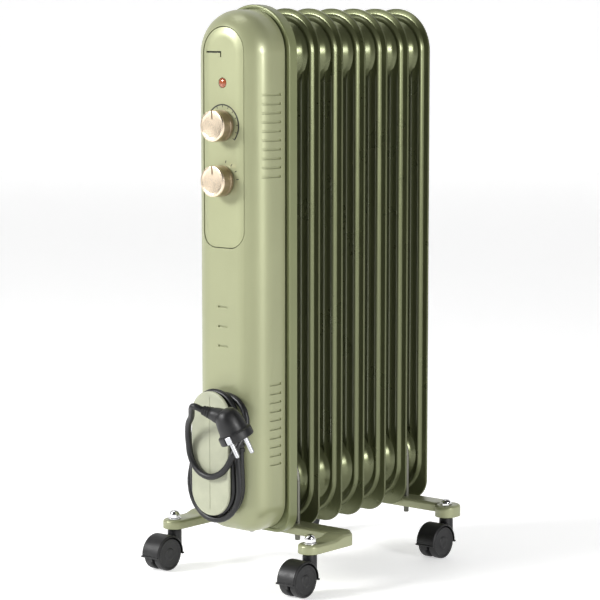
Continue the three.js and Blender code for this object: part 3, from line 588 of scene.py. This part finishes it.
class RADIATOR_OT_box(bpy.types.Operator):
    """Builds the control box: rear tray with its flange, front shell with louvres, and panel"""
    bl_idname = "radiator.box"
    bl_label = "Control box"

    def execute(self, context):
        self.tray()
        self.shell()
        self.panel()
        return {"FINISHED"}

    def tray(self):
        def station(inset, y):
            half = 53 - inset
            return (half, 54 + inset, 635 - inset, max(1, 22 - inset), half, y)
        bm = bmesh.new()
        stations = [station(22, -13.2), station(1.5, -13.2), station(1.5, -3.4), station(1.1, -3)]
        stations += [station(0.4, -3), station(0, -3.4), station(0, -14.4)]
        stations += [station(i, -14.4 - r) for i, r in quarter(1.6, 4)[1:]]
        stations += [station(3.2, -16), station(3.7, -15.8), station(3.9, -15.3)]
        stations += [station(3.9, -14.4), station(22, -14.4)]
        upright(bm, stations, 18)
        place_piece("tray_pressing", bm, "tray", "heater", ("rear_tray",), 30)

    def shell(self):
        bm = bmesh.new()
        stations = box_stations(0, -16.3)
        half, bottom, top, foot, head, _ = stations[0]
        lip = [(half - 4, bottom + 4, top - 4, foot - 4, head - 4, -16.3)]
        lip += [(half - 0.8, bottom + 0.8, top - 0.8, foot - 0.8, head - 0.8, -16.3)]
        stations[0] = (half, bottom, top, foot, head, -17.1)
        upright(bm, lip + stations, 18)
        made = plain_object("shell_pressing", bm)
        carve(made, panel_tool(0.9, -52))
        carve(made, slots_tool())
        ease_edges(made, 0.35 * MM, 42)
        dress(made, "paint", "heater", ("front_shell",), 30)

    def panel(self):
        bm = box_solid(0.8, -30)
        made = plain_object("panel_skin", bm)
        carve(made, panel_tool(0, -56), "INTERSECT")
        tool = bmesh.new()
        brick(tool, spot(-24, -90, 583), spot(-1.8, -61.6, 584.9))
        cylinder_y(tool, 0, 551, 5.7, -90, -60)
        carve(made, cutter(tool))
        hook = bmesh.new()
        brick(hook, spot(-3.4, -90, 578.6), spot(-1.7, -61.9, 583.6))
        carve(made, cutter(hook))
        ease_edges(made, 0.4 * MM, 42)
        dress(made, "panel", "heater", ("control_panel",), 30)


def cylinder_y(bm, x, z, radius, y0, y1, sides=40):
    spin(
        bm, [(0, y0 * MM), (radius * MM, y0 * MM), (radius * MM, y1 * MM), (0, y1 * MM)],
        (0, 1, 0), spot(x, 0, z), sides,
    )


# ---------------------------------------------------------------- controls
def panel_face(x):
    """How far the panel's skin lies from the first fin at this distance from its middle line."""
    beyond = max(0, abs(x) - 17.5)
    radius = 29.2
    return -65.2 + radius - math.sqrt(radius * radius - beyond * beyond)


def ink_strip(bm, line, width):
    """A printed line on the panel: a thin strip that follows its skin."""
    rings = []
    for i, (x, z) in enumerate(line):
        ahead = Vector(line[min(i + 1, len(line) - 1)]) - Vector(line[max(i - 1, 0)])
        side = Vector((-ahead.y, ahead.x)).normalized() * width / 2
        corners = []
        for sign, lift in ((1, 0.12), (1, -0.3), (-1, -0.3), (-1, 0.12)):
            px, pz = x + side.x * sign, z + side.y * sign
            corners.append(bm.verts.new(spot(px, panel_face(px) - lift, pz)))
        rings.append(corners)
    loft(bm, rings)


def arc_line(radius, start, end, z, count):
    angles = [math.radians(start + (end - start) * i / count) for i in range(count + 1)]
    return [(radius * math.cos(a), z + radius * math.sin(a)) for a in angles]


def tick(radius_in, radius_out, degrees, z):
    a = math.radians(degrees)
    return [(r * math.cos(a), z + r * math.sin(a)) for r in (radius_in, radius_out)]


class RADIATOR_OT_controls(bpy.types.Operator):
    """Turns the two bronze knobs, prints their dial marks, paints shade into the grip slot and adds
    the pilot lamp
    """
    bl_idname = "radiator.controls"
    bl_label = "Knobs and lamp"

    def execute(self, context):
        self.knob("thermostat", KNOB_Z / MM)
        self.knob("power", POWER_Z / MM)
        self.scales_and_slot_shade(KNOB_Z / MM, POWER_Z / MM)
        self.lamp(LAMP_Z / MM)
        repaint(["thermostat_spindle", "power_spindle"], "steel")
        return {"FINISHED"}

    def knob(self, name, z):
        bm = bmesh.new()
        face = -83.2
        profile = [(0, face + 0.9), (6, face + 0.85), (12, face + 0.6), (13.6, face + 0.35)]
        profile += [(14.2, face + 0.05), (14.8, face), (15.9, face + 0.15), (16.6, face + 0.6)]
        profile += [(16.95, face + 1.4), (17, face + 2.2), (17, face + 11), (16.7, face + 11.4)]
        profile += [(16.7, face + 12.4), (17, face + 12.8), (17, face + 16.4), (16.6, face + 17)]
        profile += [(0, face + 17)]
        spin(bm, [(r * MM, s * MM) for r, s in profile], (0, 1, 0), spot(0, 0, z), 72)
        made = plain_object(f"{name}_knob_metal", bm)
        tool = bmesh.new()
        brick(tool, spot(-0.95, face - 2, z + 7.5), spot(0.95, face + 1.7, z + 19))
        carve(made, cutter(tool))
        ease_edges(made, 0.18 * MM, 50, 1)
        face_metal = spun_bronze(f"{name}_face", settings().bronze, spot(0, 0, z))
        dress(made, face_metal, f"{name}_control", (f"{name}_knob",), 32)
        # The rim and the inside of the notch take a darker copy of the bronze: painted shade on the
        # sides that face away from the light.
        made.data.materials.append(material_of("bronze_painted_shade"))
        edge_y = FIRST_FIN_Y + (face + 2) * MM
        for polygon in made.data.polygons:
            inside_notch = abs(polygon.center.x) < 0.9 * MM and polygon.center.z > (z + 7.6) * MM
            polygon.material_index = 1 if polygon.center.y > edge_y or (
                inside_notch and polygon.center.y > FIRST_FIN_Y + (face + 1.2) * MM
            ) else 0

    def scales_and_slot_shade(self, upper, lower):
        bm = bmesh.new()
        ink_strip(bm, arc_line(22.6, 222, -42, upper, 72), 1.5)
        for step in range(13):
            ink_strip(bm, tick(19.6, 22, 222 - 22 * step, upper), 0.7)
        for step in range(4):
            ink_strip(bm, tick(19.8, 22.6, 78 - 24 * step, lower), 0.9)
        # Two dark strips in the grip slot and its hook: painted shade inside the slot, not print.
        brick(bm, spot(-23.9, -62.7, 582.9), spot(-2.2, -61.7, 585))
        brick(bm, spot(-4.6, -62.9, 577), spot(-1.9, -62, 582.9))
        place_piece("scales_and_slot_shade", bm, "ink_and_slot_shade", "heater")

    def lamp(self, z):
        bm = bmesh.new()
        profile = [(0, -1.7), (1.8, -1.62), (3.4, -1.3), (4.6, -0.7), (5.2, 0.1), (5.2, 6), (0, 6)]
        spin(bm, [(r * MM, s * MM) for r, s in profile], (0, 1, 0), spot(0, -65.2, z), 40)
        place_piece("lamp_lens", bm, "lamp", "heater", ("pilot_lamp",))


# ---------------------------------------------------------------- winder, cord and plug
WINDER_Z = 149


class RADIATOR_OT_winder(bpy.types.Operator):
    """Moulds the oval cord winder with its neck"""
    bl_idname = "radiator.winder"
    bl_label = "Cord winder"

    def execute(self, context):
        def station(half, height, y):
            return (half, WINDER_Z - height, WINDER_Z + height, half, half, y)
        bm = bmesh.new()
        stations = [station(19, 56, -66), station(19, 56, -83.4), station(19.4, 56.4, -84.1)]
        stations += [station(26, 67.5, -84.3), station(26.7, 68.2, -84.6)]
        stations += [station(27, 68.5, -85.3)]
        stations += [station(27 - i, 68.5 - i, -86.7 - r) for i, r in quarter(1.6, 5)]
        stations += [station(23.4, 64.9, -88.3), station(22.6, 64.1, -88.0)]
        upright(bm, stations, 20)
        made = plain_object("winder_moulding", bm)
        tool = bmesh.new()
        brick(tool, spot(-0.35, -95, WINDER_Z - 62), spot(0.35, -87.6, WINDER_Z + 62))
        carve(made, cutter(tool))
        covered = ("cord_winder", "winder_screw")
        dress(made, "winder", "heater", covered, 32)
        return {"FINISHED"}


# Along the winding: 0 is the right side's top. Each straight side and each end turn adds 1.
# Each entry is (station, half width, y).
WINDING = (
    (0.466, 30, -71), (1.0, 31.5, -71), (1.5, 33.5, -71), (2.0, 33.5, -71), (2.4, 30.6, -71),
    (2.8, 22.9, -77.2), (3.8, 22.9, -77.4), (4.1, 23.3, -80.7), (5.0, 28.5, -80.7),
    (5.5, 31, -80.7), (6.0, 32.4, -79.4), (6.6, 32.2, -78.6), (7.0, 29.9, -77.5),
    (7.8, 29.9, -77.6), (8.1, 30.6, -80.7), (9.0, 36.2, -80.7), (9.5, 38.2, -80.6),
    (10.0, 38.6, -77.5), (10.4, 38.2, -72.6), (10.8, 33, -71), (11.1, 26.4, -70.5),
    (11.5, 26.4, -70.5), (12.0, 40.2, -73), (12.2, 41.2, -79.5),
)
WINDING_LOW, WINDING_HIGH = 113, 186
CORD_END = (
    (39.8, -86.6, 162.5), (36.5, -91, 153.5), (32.5, -92.4, 144), (26.6, -92.5, 136),
    (17, -92.5, 128.5), (4, -92.5, 124.5), (-9, -92.5, 127), (-19, -92.5, 135),
    (-24.6, -92.8, 146), (-25.2, -94.4, 158.5), (-22.4, -98.6, 171), (-15.6, -105, 183),
    (-5.5, -111.5, 192.5),
)


def winding_point(station):
    station = min(station, WINDING[-1][0])
    for (a, ra, ya), (b, rb, yb) in zip(WINDING, WINDING[1:]):
        if a <= station <= b:
            share = (station - a) / (b - a)
            share = share * share * (3 - 2 * share)
            radius, y = ra + (rb - ra) * share, ya + (yb - ya) * share
    side, share = int(station) % 4, station % 1
    low_z, high_z = WINDING_LOW, WINDING_HIGH
    if side == 0:
        return (radius, y, high_z + (low_z - high_z) * share)
    if side == 2:
        return (-radius, y, low_z + (high_z - low_z) * share)
    angle = -math.pi * share if side == 1 else math.pi * (1 - share)
    middle_z = low_z if side == 1 else high_z
    return (radius * math.cos(angle), y, middle_z + radius * math.sin(angle))


def catmull(points, steps):
    made = []
    padded_points = [points[0], *points, points[-1]]
    for p, q, r, s in zip(padded_points, padded_points[1:], padded_points[2:], padded_points[3:]):
        for i in range(steps):
            t = i / steps
            made.append(0.5 * (2 * q + (r - p) * t + (2 * p - 5 * q + 4 * r - s) * t * t
                               + (3 * q - p - 3 * r + s) * t ** 3))
    return made + [points[-1]]


def cord_line():
    count = 200
    first, last = WINDING[0][0], WINDING[-1][0]
    stations = [first + (last - first) * i / count for i in range(count + 1)]
    wound = [spot(*winding_point(s)) for s in stations]
    into = plug_place()
    ends = [into @ (HANDLE_ROOT + HANDLE_WAY * (HANDLE_LENGTH + more)) for more in (12, 0.5)]
    free = catmull([spot(*p) for p in CORD_END] + ends, 6)
    joined = catmull([wound[-2], wound[-1], free[0], free[1]], 6)[7:12]
    return wound + joined + free


# The plug's own frame: its face's middle, pins along -Z and apart along Y.
HANDLE_ROOT = Vector((0, 0, 24))
HANDLE_WAY = Vector((0, -0.786, 0.617)).normalized()
HANDLE_LENGTH = 31
PLUG_FACE = (55.8, -105, 173.4)
PINS_POINT = Vector((0.314, 0.278, -0.908))
PINS_APART = Vector((0.885, 0.164, 0.42))
PIN_SPREAD = 9.5


def plug_place():
    """From millimetres in the plug's own frame to its place beside the winder."""
    pins = PINS_POINT.normalized()
    apart = (PINS_APART - pins * PINS_APART.dot(pins)).normalized()
    up = -pins
    side = apart.cross(up)
    turn = Matrix((side, apart, up)).transposed().to_4x4()
    return Matrix.Translation(spot(*PLUG_FACE)) @ turn @ Matrix.Scale(MM, 4)


class RADIATOR_OT_cord(bpy.types.Operator):
    """Winds the mains cord round the winder and ends it in a round two-pin plug"""
    bl_idname = "radiator.cord"
    bl_label = "Cord and plug"

    def execute(self, context):
        radius = settings().cord_diameter / 2
        line = cord_line()
        curve = bpy.data.curves.new("mains_cord", "CURVE")
        curve.dimensions = "3D"
        curve.bevel_depth = radius
        curve.bevel_resolution = 6
        curve.use_fill_caps = True
        spline = curve.splines.new("POLY")
        spline.points.add(len(line) - 1)
        for point, place in zip(spline.points, line):
            point.co = (*place, 1)
        spline.use_smooth = True
        cord = bpy.data.objects.new("mains_cord", curve)
        bpy.context.collection.objects.link(cord)
        curve.materials.append(material_of("rubber"))
        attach(cord, "heater")
        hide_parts("cord_winding", "cord_tail")
        parts = [self.body(), *self.pins(), self.relief()]
        return {"FINISHED"}

    def body(self):
        bm = bmesh.new()
        round_body = [(0, 0), (17.6, 0), (18.6, 0.4), (19, 1.3), (19, 8), (18.7, 8.8), (17.6, 9.4)]
        round_body += [(16.4, 10.2), (15.7, 12), (15.2, 18), (14.4, 24), (13, 29), (10.6, 33)]
        round_body += [(7, 35.2), (3.4, 35.9), (0, 36)]
        spin(bm, round_body, (0, 0, 1), (0, 0, 0), 72)
        made = plain_object("plug_moulding", bm)
        tool = bmesh.new()
        for side in (-1, 1):
            brick(tool, *sorted_box((side * 16.4, -4.5, -2), (side * 30, 4.5, 9.9)))
        carve(made, cutter(tool))
        bm = bmesh.new()
        grip = [(0, 0), (9.4, 4), (9, 10), (8.2, 15), (7.2, 18.4)]
        for rib in range(4):
            start, thick = 19.4 + 3 * rib, 6.9 - 0.55 * rib
            grip += [(thick, start), (thick, start + 1.7), (thick - 1, start + 1.9),
                     (thick - 1.1, start + 2.8)]
        grip += [(4.4, HANDLE_LENGTH), (0, HANDLE_LENGTH)]
        spin(bm, grip, (0, 0, 1), (0, 0, 0), 40)
        lean = Vector((0, 0, 1)).rotation_difference(HANDLE_WAY).to_matrix().to_4x4()
        handle_place = Matrix.Translation(HANDLE_ROOT) @ lean
        bmesh.ops.transform(bm, matrix=handle_place, verts=bm.verts)
        bm.from_mesh(made.data)
        bpy.data.objects.remove(made)
        bmesh.ops.transform(bm, matrix=plug_place(), verts=bm.verts)
        return place_piece("plug_moulding", bm, "black", "heater", ("plug_body",))

    def pins(self):
        made = []
        for name, side in (("left", -1), ("right", 1)):
            bm = bmesh.new()
            tip = [(0, 0.4), (2.4, 0.4), (2.4, -17.4), (2.1, -18.4), (1.2, -19.1), (0, -19.3)]
            spin(bm, tip, (0, 0, 1), (0, side * PIN_SPREAD, 0), 32)
            bmesh.ops.transform(bm, matrix=plug_place(), verts=bm.verts)
            node = f"plug_{name}_pin"
            made.append(place_piece(f"{node}_metal", bm, "steel", "heater", (node,)))
        for name, side in (("front", 1), ("back", -1)):
            bm = bmesh.new()
            brick(bm, *sorted_box((side * 16.6, -3.5, 0.6), (side * 18.2, 3.5, 9)))
            soften(bm, 0.4, 3, 60)
            bmesh.ops.transform(bm, matrix=plug_place(), verts=bm.verts)
            node = f"plug_{name}_clip"
            made.append(place_piece(f"{node}_metal", bm, "steel", "heater", (node,)))
        return made

    def relief(self):
        bm = bmesh.new()
        profile = [(0, 2), (3.6, 2), (5.2, 1.4), (6, 0)]
        for rib in range(5):
            z = -3 - rib * 4.6
            r = 5.8 - rib * 0.26
            profile += [(r, z), (r - 1.1, z - 0.5), (r - 1.1, z - 1.9), (r - 0.1, z - 2.4)]
        profile += [(4.6, -27), (4.2, -28), (0, -28)]
        spin(bm, [(r * MM, s * MM) for r, s in profile], (0, 0, 1), spot(30, -71, 180), 32)
        cylinder_y(bm, 30, 174, 4.5, -71, -60, 28)
        return place_piece("relief", bm, "rubber", "heater", ("strain_relief",))


# ---------------------------------------------------------------- feet
STAMP_BEND = 3.2


def stamped(bm, x, y, half_x, half_y, radius, top, rim):
    """A stamped tray turned down at the edge."""
    levels = [(0.0, top - rim), (0.0, top - STAMP_BEND)]
    levels += [(i, top - STAMP_BEND + r) for i, r in quarter(STAMP_BEND, 5)[1:]]
    inner = [(1.6 + i, z) for i, z in ((3.0, top - 1.6), (0.4, top - 2.6), (0.0, top - rim))]
    rings = []
    for inset, z in inner + levels + [(6.0, top)]:
        points = rounded(half_x - inset, half_y - inset, max(0.6, radius - inset), 8)
        rings.append(ring(bm, points, lambda a, b, z=z: spot(x + a, y + b, z)))
    loft(bm, rings)


class RADIATOR_OT_feet(bpy.types.Operator):
    """Stamps the two cross feet and adds the dome nuts over the caster stems"""
    bl_idname = "radiator.feet"
    bl_label = "Feet"

    def execute(self, context):
        last = (len(FIN_NAMES) - 1) * FIN_PITCH / MM
        self.foot("front_foot", 20, -38, 104, -51, 28)
        self.foot("rear_foot", last - 20, 210, 91, 197, 229)
        for corner in CORNERS:
            self.dome_nut(corner)
        # The U-bolts take the dark metal: painted shade under the feet.
        repaint([f"{end}_u_bolt" for end in ("front", "rear")], "u_bolt_painted_shade")
        repaint([f"{corner}_wing_nut" for corner in CORNERS], "steel")
        repaint([f"{corner}_caster_stem" for corner in CORNERS], "steel")
        return {"FINISHED"}

    def foot(self, name, bar_y, bolt_y, bar_half, arm_low, arm_high):
        bm = bmesh.new()
        stamped(bm, 0, bar_y, bar_half, 13.3, 8, 59, 10)
        for side in (-1, 1):
            arm = bmesh.new()
            half_y = (arm_high - arm_low) / 2
            stamped(arm, side * 100, arm_low + half_y, 13, half_y, 12.9, 55, 10)
            near = bar_y - 13.3 if bolt_y < bar_y else bar_y - 4
            for line in (near - 16, near - 12, near - 8, near - 4, near):
                whole = list(arm.verts) + list(arm.edges) + list(arm.faces)
                bmesh.ops.bisect_plane(
                    arm, geom=whole, plane_co=spot(0, line, 0), plane_no=(0, 1, 0),
                )
            for vert in arm.verts:
                y = (vert.co.y - FIRST_FIN_Y) / MM
                share = min(1, max(0, (y - near + 16) / 16)) if bolt_y < bar_y else 0
                if vert.co.z > 0.0505:
                    vert.co.z += 3.6 * MM * share * share * (3 - 2 * share)
            mesh = bpy.data.meshes.new("arm")
            arm.to_mesh(mesh)
            arm.free()
            bm.from_mesh(mesh)
            bpy.data.meshes.remove(mesh)
        place_piece(f"{name}_stamping", bm, "paint", "heater", (name,), 32)

    def dome_nut(self, corner):
        node = f"{corner}_dome_nut"
        base = low(node)
        centre = Vector((middle(node).x, middle(node).y, base.z))
        bm = bmesh.new()
        washer = [(0, 0), (7.4, 0), (7.4, 0.9), (7.0, 1.2), (0, 1.2)]
        spin(bm, [(r * MM, s * MM) for r, s in washer], (0, 0, 1), centre, 40)
        hexagon = bmesh.ops.create_cone(
            bm, cap_ends=True, segments=6, radius1=6.7 * MM, radius2=6.7 * MM, depth=4 * MM,
            matrix=Matrix.Translation(centre + Vector((0, 0, 3.2 * MM))),
        )["verts"]
        edges = list({e for v in hexagon for e in v.link_edges})
        bmesh.ops.bevel(
            bm, geom=edges, offset=0.35 * MM, affect="EDGES", segments=2, profile=0.5, material=-1,
        )
        dome = [(0, 4.8), (5.7, 4.8), (5.6, 6)]
        dome += [(5.5 * math.cos(a), 6 + 4 * math.sin(a)) for a in
                 [math.pi / 2 * i / 8 for i in range(1, 8)]]
        dome += [(0, 10)]
        spin(bm, [(r * MM, s * MM) for r, s in dome], (0, 0, 1), centre, 40)
        place_piece(f"{corner}_nut", bm, "chrome", "heater", (node,), 40)


# ---------------------------------------------------------------- casters
AXLE_Z = 18.5
TRAIL = 20


class RADIATOR_OT_casters(bpy.types.Operator):
    """Moulds the four swivel casters: hood, neck and twin wheels"""
    bl_idname = "radiator.casters"
    bl_label = "Casters"

    def execute(self, context):
        for corner in CORNERS:
            stem = middle(f"{corner}_caster_stem")
            x, y = stem.x / MM, (stem.y - FIRST_FIN_Y) / MM
            self.hood(corner, x, y)
            self.wheels(corner, x, y - TRAIL)
        return {"FINISHED"}

    def hood(self, corner, x, y):
        axle = spot(x, y - TRAIL, AXLE_Z)
        bm = bmesh.new()
        section = [(19.6, -12.4), (20.4, -12.4), (21.2, -11.8), (21.6, -10.8), (21.6, 10.8)]
        section += [(21.2, 11.8), (20.4, 12.4), (19.6, 12.4)]
        rings = []
        steps = 28
        for step in range(steps + 1):
            angle = math.radians(-3 + 186 * step / steps)
            out = Vector((0, math.cos(angle), math.sin(angle)))
            rings.append([
                bm.verts.new(axle + Vector((s * MM, 0, 0)) + out * r * MM) for r, s in section
            ])
        loft(bm, rings)
        for side in (-1, 1):
            at_y = y - TRAIL + side * 21.4
            lip = spot(x - 12.4, at_y - 1.5, AXLE_Z - 2.4), spot(x + 12.4, at_y + 1.5, AXLE_Z - 0.4)
            verts = brick(bm, *lip)
            edges = list({e for v in verts for e in v.link_edges})
            bmesh.ops.bevel(
                bm, geom=edges, offset=0.6 * MM, affect="EDGES", segments=2, profile=0.5,
                material=-1,
            )
        web = [(0, -2.2), (20.6, -2.2), (20.6, 2.2), (0, 2.2)]
        disc = bmesh.new()
        spin(disc, [(r * MM, s * MM) for r, s in web], (1, 0, 0), axle, 48)
        bmesh.ops.bisect_plane(
            disc, geom=list(disc.verts) + list(disc.edges) + list(disc.faces),
            plane_co=spot(0, 0, 11.5), plane_no=(0, 0, -1), clear_outer=True,
        )
        bmesh.ops.holes_fill(disc, edges=[e for e in disc.edges if e.is_boundary])
        self.merge(bm, disc)
        boss = bmesh.new()
        profile = [(0, 20), (8, 20), (8, 41.5), (7.6, 43), (6.6, 43.8), (0, 43.8)]
        spin(boss, [(r * MM, s * MM) for r, s in profile], (0, 0, 1), spot(x, y, 0), 40)
        neck = plain_object("neck", boss)
        drum = bmesh.new()
        sweep = [(0, -14), (19.7, -14), (19.7, 14), (0, 14)]
        spin(drum, [(r * MM, s * MM) for r, s in sweep], (1, 0, 0), axle, 64)
        carve(neck, cutter(drum))
        bm.from_mesh(neck.data)
        bpy.data.objects.remove(neck)
        place_piece(
            f"{corner}_hood", bm, "black", f"{corner}_caster",
            (f"{corner}_caster_housing",), 35,
        )

    def merge(self, target, source):
        mesh = bpy.data.meshes.new("part")
        source.to_mesh(mesh)
        source.free()
        target.from_mesh(mesh)
        bpy.data.meshes.remove(mesh)

    def wheels(self, corner, x, y):
        bm = bmesh.new()
        half = [(2.4, 2.6), (16.6, 2.6), (17.9, 3.2), (18.5, 4.2), (18.5, 10.4), (18.2, 11.3)]
        half += [(17.4, 12), (16.2, 12.1), (15.6, 11.7), (15.2, 11.2), (7.4, 11.0), (7, 11.4)]
        half += [(6.2, 12), (4.4, 12.1), (3.6, 11.8), (0, 11.7)]
        profile = [(r * MM, -s * MM) for r, s in reversed(half)]
        profile += [(r * MM, s * MM) for r, s in half]
        spin(bm, profile, (1, 0, 0), spot(x, y, AXLE_Z), 64)
        place_piece(
            f"{corner}_twin_wheels", bm, "tyre", f"{corner}_wheels",
            (f"{corner}_caster_wheels",), 35,
        )


class RADIATOR_OT_inside(bpy.types.Operator):
    """Gives the parts inside the box and the header their finishes"""
    bl_idname = "radiator.inside"
    bl_label = "Inside parts"

    def execute(self, context):
        repaint(["heating_element", "thermal_cutout"], "steel")
        repaint(["element_flange"], "brass")
        repaint(["thermostat_body", "power_switch_body", "terminal_block"], "cream")
        repaint(["tilt_switch"], "black")
        return {"FINISHED"}


# ---------------------------------------------------------------- stage
class RADIATOR_OT_camera(bpy.types.Operator):
    """Sets the camera"""
    bl_idname = "radiator.camera"
    bl_label = "Camera"

    def execute(self, context):
        lens_data = bpy.data.cameras.new("camera")
        lens_data.lens = 141.85
        lens_data.sensor_width = 36
        lens_data.clip_end = 100
        camera = bpy.data.objects.new("camera", lens_data)
        camera.location = (1.7065, -2.0545, 0.6202)
        camera.rotation_euler = (math.radians(CAMERA_TILT), 0, math.radians(CAMERA_TURN))
        context.collection.objects.link(camera)
        context.scene.camera = camera
        return {"FINISHED"}


# (name, place, target, size, share of the key light's power)
SOFTBOXES = (
    ("key", (-1.5, -2.5, 1.7), (0, -0.15, 0.34), 1.1, 1),
    ("side", (2.9, -0.6, 1.0), (0, -0.1, 0.34), 0.9, 0.55),
    ("top", (-0.6, -0.3, 2.8), (0, 0, 0.3), 1.2, 0.1),
)
BACKDROP_DISTANCE = 7


class RADIATOR_OT_stage(bpy.types.Operator):
    """Lays the pale floor and sets the soft lights"""
    bl_idname = "radiator.stage"
    bl_label = "Floor and lights"

    def execute(self, context):
        look = settings()
        pale, tree, shader = finish("pale_stage", STAGE_GREY, 0.6)
        vary(tree, shader, STAGE_GREY, noise(tree, mapped(tree), 0.8), 0.01)
        shader.inputs["Emission Color"].default_value = WHITE
        shader.inputs["Emission Strength"].default_value = look.stage_glow
        self.plane("floor", Matrix.Identity(4), look.floor_size, pale)
        away = Matrix.Rotation(math.radians(CAMERA_TURN), 4, "Z")
        stood = Matrix.Rotation(math.radians(90), 4, "X")
        place = away @ (Matrix.Translation((0, BACKDROP_DISTANCE, 0)) @ stood)
        self.plane("backdrop", place, look.floor_size, pale)
        for name, stand, target, size, share in SOFTBOXES:
            self.softbox(name, stand, target, size, look.key_power * share)
        world = bpy.data.worlds.new("studio")
        world.use_nodes = True
        sky = world.node_tree.nodes["Background"]
        sky.inputs["Color"].default_value = WHITE
        sky.inputs["Strength"].default_value = look.sky
        context.scene.world = world
        context.scene.view_settings.view_transform = "Standard"
        return {"FINISHED"}

    def plane(self, name, place, size, material):
        bm = bmesh.new()
        bmesh.ops.create_grid(bm, x_segments=1, y_segments=1, size=size / 2, matrix=place)
        mesh = bpy.data.meshes.new(name)
        bm.to_mesh(mesh)
        bm.free()
        made = bpy.data.objects.new(name, mesh)
        bpy.context.collection.objects.link(made)
        mesh.materials.append(material)

    def softbox(self, name, place, target, size, power):
        data = bpy.data.lights.new(name, "AREA")
        data.shape = "DISK"
        data.size = size
        data.energy = power
        light = bpy.data.objects.new(name, data)
        light.location = place
        aim = Vector(target) - Vector(place)
        light.rotation_euler = aim.to_track_quat("-Z", "Y").to_euler()
        bpy.context.collection.objects.link(light)


class RADIATOR_PT_panel(bpy.types.Panel):
    bl_label = "Oil filled radiator"
    bl_idname = "RADIATOR_PT_panel"
    bl_space_type = "VIEW_3D"
    bl_region_type = "UI"
    bl_category = "Radiator"

    def draw(self, context):
        look = context.scene.radiator
        for name in ("paint", "fin_painted_shade", "winder", "bronze", "black", "lamp", "paint_grain",
                     "cord_diameter", "floor_size", "key_power", "stage_glow", "sky"):
            self.layout.prop(look, name)
        for operator in OPERATORS:
            self.layout.operator(operator.bl_idname)


OPERATORS = (
    RADIATOR_OT_camera,
    RADIATOR_OT_cord,
    RADIATOR_OT_fins,
    RADIATOR_OT_box,
    RADIATOR_OT_controls,
    RADIATOR_OT_winder,
    RADIATOR_OT_feet,
    RADIATOR_OT_casters,
    RADIATOR_OT_inside,
    RADIATOR_OT_stage,
)


def register():
    bpy.utils.register_class(RadiatorSettings)
    for operator in OPERATORS:
        bpy.utils.register_class(operator)
    bpy.utils.register_class(RADIATOR_PT_panel)
    bpy.types.Scene.radiator = PointerProperty(type=RadiatorSettings)


def unregister():
    del bpy.types.Scene.radiator
    bpy.utils.unregister_class(RADIATOR_PT_panel)
    for operator in reversed(OPERATORS):
        bpy.utils.unregister_class(operator)
    bpy.utils.unregister_class(RadiatorSettings)


def main():
    register()
    bpy.ops.radiator.camera()
    bpy.ops.radiator.cord()
    bpy.ops.radiator.fins()
    bpy.ops.radiator.box()
    bpy.ops.radiator.controls()
    bpy.ops.radiator.winder()
    bpy.ops.radiator.feet()
    bpy.ops.radiator.casters()
    bpy.ops.radiator.inside()
    bpy.ops.radiator.stage()


if __name__ == "__main__":
    main()
